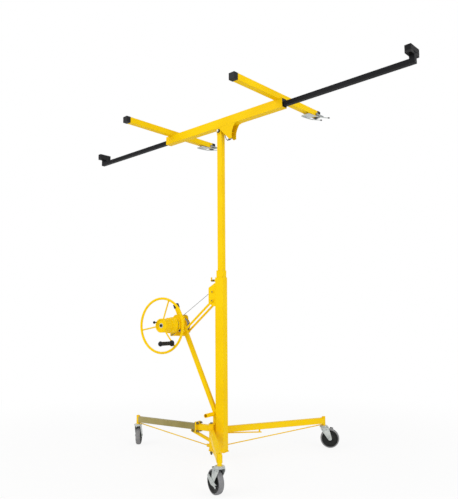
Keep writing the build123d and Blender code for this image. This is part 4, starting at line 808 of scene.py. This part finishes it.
# Casters: profiles of radius and height, along the axle or up the stem
FLOOR_GAP = 0.00002
TREAD_CROWN, SHOULDER_FALL, TREAD_GROOVE = 0.0022, 0.0046, 0.0005
SHOULDER_START, GROOVE_PLACE, GROOVE_HALF = 0.72, 0.42, 0.03
SEAT_SHARE, TREAD_SAMPLES = 0.97, 41
WHEEL_FACE = np.array(
    [
        (0.0581, 0.0146), (0.0575, 0.0154), (0.0545, 0.0154), (0.0540, 0.0147), (0.0522, 0.0147),
        (0.0517, 0.0153), (0.0480, 0.0153), (0.0466, 0.0142), (0.0448, 0.0112), (0.0300, 0.0100),
        (0.0255, 0.0108), (0.0225, 0.0140), (0.0185, 0.0152), (0.0150, 0.0156), (0.0140, 0.0178),
        (0.0122, 0.0186), (0.0051, 0.0186),
    ]
)
WHEEL_PROFILE = np.concatenate([WHEEL_FACE, WHEEL_FACE[::-1] * (1, -1)])
RACE = [
    (0.0128, 0.1396), (0.0262, 0.1396), (0.0282, 0.1412), (0.0288, 0.1440), (0.0284, 0.1462),
    (0.0268, 0.1468), (0.0266, 0.1476), (0.0276, 0.1482), (0.0274, 0.1496), (0.0262, 0.1503),
    (0.0205, 0.1504), (0.0128, 0.1504),
]
RACE_SEAL = [
    (0.0129, 0.1505), (0.0246, 0.1505), (0.0251, 0.1509),
    (0.0246, 0.1514), (0.0205, 0.1518), (0.0129, 0.1518),
]
RIVET = [(CORE, 0), (0.0036, 0), (0.0034, 0.0007), (0.0022, 0.0014), (CORE, 0.0017)]
RIVETS_ALONG, RIVETS_UP = (-0.010, 0.016), 0.128
LEVER_TIP = [(0.0058, 0), (0.0080, 0), (0.0084, 0.0010)]
LEVER_TIP += [(0.0084, 0.0088), (0.0074, 0.0104), (0.0058, 0.0106)]
SHOE_SWEEP = np.radians(np.linspace(70, 88, 7))[:, None]
SHOE_RADIUS = 0.0712
SHOE_OUTLINE = bar_outline(0.008, 0.003, 0.0018)


def tyre_profile():
    """A tread from side to side: a round crown, shoulders that fall away and two narrow grooves."""
    across = np.linspace(-1, 1, TREAD_SAMPLES)
    aside = np.abs(across)
    radius = CASTER_RADIUS - FLOOR_GAP - TREAD_CROWN * across**2
    radius -= SHOULDER_FALL * np.clip((aside - SHOULDER_START) / (1 - SHOULDER_START), 0, 1) ** 2
    radius -= TREAD_GROOVE * (np.abs(aside - GROOVE_PLACE) < GROOVE_HALF)
    seat = np.array([(TYRE_SEAT, SEAT_SHARE), (TYRE_SEAT, -SEAT_SHARE)])
    return np.concatenate([np.stack([radius, across], -1), seat]) * (1, TYRE_HALF)


for name, stem, angle in CASTERS:
    trail = np.array([cos(angle), sin(angle), 0])
    axle_way = np.array([-sin(angle), cos(angle), 0])
    axle = stem + CASTER_TRAIL * trail + CASTER_RADIUS * UP
    fork, wheel = name + "_fork", name + "_wheel"
    tyre_shape = turned(tyre_profile(), axle, axle_way, WHEEL_ROUND)
    tyre = piece(name + "_tyre", tyre_shape, wheel, grey_rubber)
    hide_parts(name + "_caster_tyre")
    center_shape = turned(WHEEL_PROFILE, axle, axle_way, WHEEL_ROUND)
    center = piece(name + "_wheel_disc", center_shape, wheel, black_wheel)
    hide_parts(name + "_caster_wheel")
    piece(name + "_race", turned(RACE, stem, UP, BROAD_ROUND), fork, bright_zinc)
    seal = turned(RACE_SEAL, stem, UP, BROAD_ROUND)
    piece(name + "_race_seal", seal, fork, cream_nylon)
    shoe_line = axle + SHOE_RADIUS * (np.cos(SHOE_SWEEP) * trail + np.sin(SHOE_SWEEP) * UP)
    shoe = carried(shoe_line, SHOE_OUTLINE, axle_way)
    piece(name + "_brake_shoe", shoe, fork, black_moulding)
    rivets = []
    for side in (-1, 1):
        for reach in RIVETS_ALONG:
            spot = stem + reach * trail + RIVETS_UP * UP + side * FORK_FACE * axle_way
            rivets.append(turned(RIVET, spot, side * axle_way, RIVET_ROUND))
    piece(name + "_fork_rivets", joined(rivets), fork, dull_zinc)
    if name == "front":
        toe = axle + LEVER_TOE[0] * trail + LEVER_TOE[1] * UP + LEVER_FACE * axle_way
        lever_tip = turned(LEVER_TIP, toe, axle_way, WASHER_ROUND)
        piece("brake_lever_tip", lever_tip, "pedal", black_moulding)

# Springs of the mast latch and the tilt lock
SPRING_RADIUS, SPRING_WIRE, SPRING_SAMPLES = 0.0064, 0.0009, 24
CLOSED_SHARE, CLOSED_RISE, SPRING_SIDES = 0.14, 0.05, 8


def spring(start, axis, length, turns):
    """A round wire along a helix, its end turns closed up."""
    axis, side, over = axes_about(axis)
    share = np.linspace(0, 1, turns * SPRING_SAMPLES)[:, None]
    marks = [0, CLOSED_SHARE, 1 - CLOSED_SHARE, 1]
    rise = np.interp(share, marks, [0, CLOSED_RISE, 1 - CLOSED_RISE, 1])
    angle = 2 * pi * turns * share
    around = SPRING_RADIUS * (np.cos(angle) * side + np.sin(angle) * over)
    helix = np.asarray(start) + rise * length * axis + around
    return carried(helix, circle(SPRING_WIRE, SPRING_SIDES), axis)


latch_spring = spring((LATCH_SPRING_X, 0, LATCH_Z), X, length=0.024, turns=8)
piece("latch_spring", latch_spring, "latch", gold_zinc)

# Cradle, in its own turned axes
ALONG, ACROSS = turn_cradle(1, 0, 0), turn_cradle(0, 1, 0)
RUBBER_LOW, RUBBER_TOP = 2.2708, 2.3160
RUBBER_START, RUBBER_FACE = 0.0003, 0.0368
RUBBER_HALF, RUBBER_CORNER, RUBBER_SAMPLES = 0.0496, 0.0022, 7
RUBBER_KNEE = np.array([0.0334, 2.2785])
RUBBER_ANGLE = [(RUBBER_START, RUBBER_LOW), (RUBBER_START, PAD_LOW - TOUCH)]
RUBBER_ANGLE += [(PAD + TOUCH, PAD_LOW - TOUCH), (PAD + TOUCH, RUBBER_TOP)]
RUBBER_ANGLE += [(RUBBER_FACE, RUBBER_TOP), (RUBBER_FACE, RUBBER_LOW)]
WIRE_SIDES = 12
BAIL_WIRE, BAIL_HALF = 0.0032, 0.0316
SLEEVE_AIM = 8  # point of the bail's line that its sleeve points at
HALF_BAIL = np.array(
    [
        (BAIL_HALF, 0.540, 2.2975), (BAIL_HALF, 0.470, 2.2815), (BAIL_HALF, 0.405, 2.2672),
        (BAIL_HALF, 0.320, 2.2606), (BAIL_HALF, 0.290, 2.2600), (0.0180, 0.286, 2.2600),
    ]
)
BAIL_PLATE = np.linspace((0, 0.292, 2.2601), (0, 0.374, 2.2649), 12)
BAIL_PLATE_OUTLINE = bar_outline(0.0310, 0.0008, 0.0006)
SLEEVE = [
    (CORE, -0.0006), (0.0028, -0.0002), (0.0036, -0.0006), (0.0046, 0.0006),
    (0.0048, 0.0030), (0.0044, 0.0180), (0.0028, 0.0186), (CORE, 0.0186),
]


def arm_pieces(side, name):
    """Welds of an end arm's pad, and the rubber angle that lines its low side and inner face."""
    pad_place = turn_cradle(side * (ARM_TIP - PAD / 2), 0, PAD_LOW)
    arm_welds = box_loop(pad_place, ALONG, ACROSS, PAD / 2, ARM_HALF, FINE_BEAD)
    inner = side * (ARM_TIP - PAD)
    corner_ends = (turn_cradle(inner, y, ARM_TOP) for y in (-ARM_HALF, ARM_HALF))
    arm_welds.append(bead(*corner_ends))
    piece(name + "_arm_welds", joined(arm_welds), name + "_arm", black_coat)
    outline = rounded(np.array(RUBBER_ANGLE) - RUBBER_KNEE, RUBBER_CORNER)
    run = np.linspace(-RUBBER_HALF, RUBBER_HALF, RUBBER_SAMPLES)
    reach = side * (ARM_TIP - RUBBER_KNEE[0])
    middle = turn_cradle(reach + 0 * run, run, RUBBER_KNEE[1] + 0 * run).T
    buffer = carried(middle, outline * (1, side), -side * ALONG)
    piece(name + "_pad_buffer", buffer, name + "_arm", black_moulding)


def hook_pieces(side, name):
    """Pin heads of a flip hook, its bent wire bail with a plate across it, and the end sleeves."""
    middle = np.array([side * CROSS_X, 0, 0])
    hook_face = CROSS_HALF + CAP_SKIN + HOOK_GAP + HOOK_PLATE
    heads = []
    for end in (-1, 1):
        spot = turn_cradle(middle[0] + end * hook_face, HOOK_PIN_Y, HOOK_PIN_Z)
        heads.append(washer(spot, end * ALONG, *HOOK_HEAD))
    piece(name + "_hook_heads", joined(heads), name + "_hook", dull_zinc)
    bail = np.concatenate([HALF_BAIL, HALF_BAIL[::-1] * (-1, 1, 1)]) + middle
    bail_line = smooth_line(turn_cradle(*bail.T).T)
    plate_line = turn_cradle(*(BAIL_PLATE + middle).T).T
    wire = carried(bail_line, circle(BAIL_WIRE, WIRE_SIDES), UP)
    plate = carried(plate_line, BAIL_PLATE_OUTLINE, ALONG)
    piece(name + "_hook_bail", joined([wire, plate]), name + "_hook", bright_zinc)
    ends = (bail_line, bail_line[::-1])
    sleeves = [turned(SLEEVE, line[0], unit(line[SLEEVE_AIM] - line[0]), ROUND) for line in ends]
    piece(name + "_hook_sleeves", joined(sleeves), name + "_hook", black_moulding)


cradle_welds = []
for side in (-1, 1):
    crossing = turn_cradle(side * CROSS_X, 0, BEAM_TOP)
    cradle_welds += box_loop(crossing, ALONG, ACROSS, CROSS_HALF, BEAM_HALF, WIDE_BEAD)
piece("cradle_welds", joined(cradle_welds), "cradle", yellow)
for side, name in ((-1, "left"), (1, "right")):
    arm_pieces(side, name)
    hook_pieces(side, name)

# Saddle: welds of the horn cheeks, and nuts and washers of the tilt bolt; the washers' dark zinc is a
# painted shadow of the bolt's ends on the cheeks
saddle_welds, tilt_nuts, tilt_shadow_washers = [], [], []
for side in (-1, 1):
    horn_ends = (turn_cradle(x, side * HORN_SIDE, SADDLE_LOW) for x in (HORN_START, HORN_END))
    saddle_welds.append(bead(*horn_ends, NARROW_BEAD))
    bolt_end = turn_cradle(0, side * TILT_BOLT_END, PIVOT_Z)
    tilt_nuts.append(turned(TILT_NUT, bolt_end, side * ACROSS, HEXAGON))
    cheek = turn_cradle(0, side * TILT_CHEEK, PIVOT_Z)
    tilt_shadow_washers.append(washer(cheek, side * ACROSS, *TILT_SHADOW_WASHER))
piece("saddle_welds", joined(saddle_welds), "saddle", yellow)
piece("tilt_nuts", joined(tilt_nuts), "saddle", bright_zinc)
# Dark zinc on these washers is a painted shadow of the tilt bolt's ends on the cheeks
piece("tilt_shadow_washers", joined(tilt_shadow_washers), "saddle", dark_zinc)
lock_spring = spring(turn_cradle(LOCK_X, LOCK_Y, LOCK_SPRING_Z), UP, length=0.038, turns=11)
piece("lock_spring", lock_spring, "saddle", dull_zinc)

# Pull of the tilt lock: a closed wire triangle in front of the lock pin
PULL_WIRE, PULL_SET_OFF = 0.0021, 0.0072
PULL = np.array(
    [
        (0.0580, 2.1360), (0.0660, 2.1110), (0.0940, 2.1120),
        (0.1220, 2.1150), (0.0860, 2.1380), (0.0500, 2.1610), (0.0580, 2.1360),
    ]
)
pull_y = np.full(len(PULL), LOCK_Y - PULL_SET_OFF)
pull_line = smooth_line(turn_cradle(PULL[:, 0], pull_y, PULL[:, 1]).T)
pull = carried(pull_line, circle(PULL_WIRE, WIRE_SIDES), ACROSS)
piece("lock_pull", pull, "lock", dark_zinc)

# Camera at the photograph's place
CAMERA_PLACE = (2.107, -3.076, 0.893)
AZIMUTH, PITCH, ROLL = radians(33.63), radians(7.22), radians(-0.39)
LENS, SENSOR, FAR_CLIP = 40.0, 36, 100
look = Vector((-sin(AZIMUTH) * cos(PITCH), cos(AZIMUTH) * cos(PITCH), sin(PITCH)))
right = Vector((cos(AZIMUTH), sin(AZIMUTH), 0))
above = right.cross(look)
across = right * cos(ROLL) + above * sin(ROLL)
above = above * cos(ROLL) - right * sin(ROLL)
lens = bpy.data.cameras.new("camera")
lens.lens = LENS
lens.sensor_width = SENSOR
lens.clip_end = FAR_CLIP
camera = bpy.data.objects.new("camera", lens)
turn = Matrix((across, above, -look)).transposed()
camera.matrix_world = Matrix.Translation(CAMERA_PLACE) @ turn.to_4x4()
bpy.context.scene.collection.objects.link(camera)
bpy.context.scene.camera = camera

# Floor, world and lamps
FLOOR_HALF = 40
NEAR_WHITE, SHADOW_NEAR, SHADOW_FAR = 0.86, 0.9, 3.5
WHITE = (1, 1, 1, 1)
AMBIENT, BACKDROP = 0.64, 1.0
LIT_POINT, SOFT_BOX = (0, 0, 1.2), 3.4


def pale_floor():
    """White floor that keeps the shadows near the object and goes over to plain white further out."""
    ground = Finish("pale_floor", Roughness=0.9)
    place = ground.place()
    tone = ground.noise(place, scale=2.0)
    ground.set({"Base Color": ground.mix(tone, tint(240, 240, 240), tint(246, 246, 246))})
    away = ground.node("VectorMath", {"operation": "LENGTH"}, {0: place}, out="Value")
    far = away.rise(SHADOW_NEAR, SHADOW_FAR)
    white_share = (NEAR_WHITE + (1 - NEAR_WHITE) * far) * ground.backdrop_rays()
    lit = Value(ground, ground.shader.outputs[0])
    shown = ground.node("MixShader", None, {0: white_share, 1: lit, 2: ground.node("Emission")})
    ground.put(ground.tree.nodes["Material Output"].inputs["Surface"], shown)
    return ground.material


def lamp(name, place, power):
    """A square soft box that looks at the middle of the mast."""
    light = bpy.data.lights.new(name, "AREA")
    light.shape = "SQUARE"
    light.size = SOFT_BOX
    light.energy = power
    made = bpy.data.objects.new(name, light)
    made.location = place
    made.rotation_euler = (Vector(LIT_POINT) - Vector(place)).to_track_quat("-Z", "Y").to_euler()
    bpy.context.scene.collection.objects.link(made)


floor_mesh = bpy.data.meshes.new("floor")
floor_mesh.from_pydata([(*corner, 0) for corner in (FLOOR_HALF * SIGNS).tolist()], [], [(0, 1, 2, 3)])
floor_mesh.materials.append(pale_floor())
floor = bpy.data.objects.new("floor", floor_mesh)
bpy.context.scene.collection.objects.link(floor)

world = bpy.data.worlds.new("studio")
world.use_nodes = True
bpy.context.scene.world = world
sky = Shading(world.node_tree)
ambient = sky.tree.nodes["Background"]
sky.put(ambient.inputs["Color"], WHITE)
sky.put(ambient.inputs["Strength"], AMBIENT)
backdrop = sky.node("Background", None, {"Color": WHITE, "Strength": BACKDROP})
light_or_white = {0: sky.backdrop_rays(), 1: Value(sky, ambient.outputs[0]), 2: backdrop}
sky.put(sky.tree.nodes["World Output"].inputs["Surface"], sky.node("MixShader", None, light_or_white))

lamp("key_box", place=(-2.2, -4.6, 3.6), power=105)
lamp("fill_box", place=(4.8, -1.4, 2.6), power=83)
bpy.context.scene.view_settings.view_transform = "Standard"
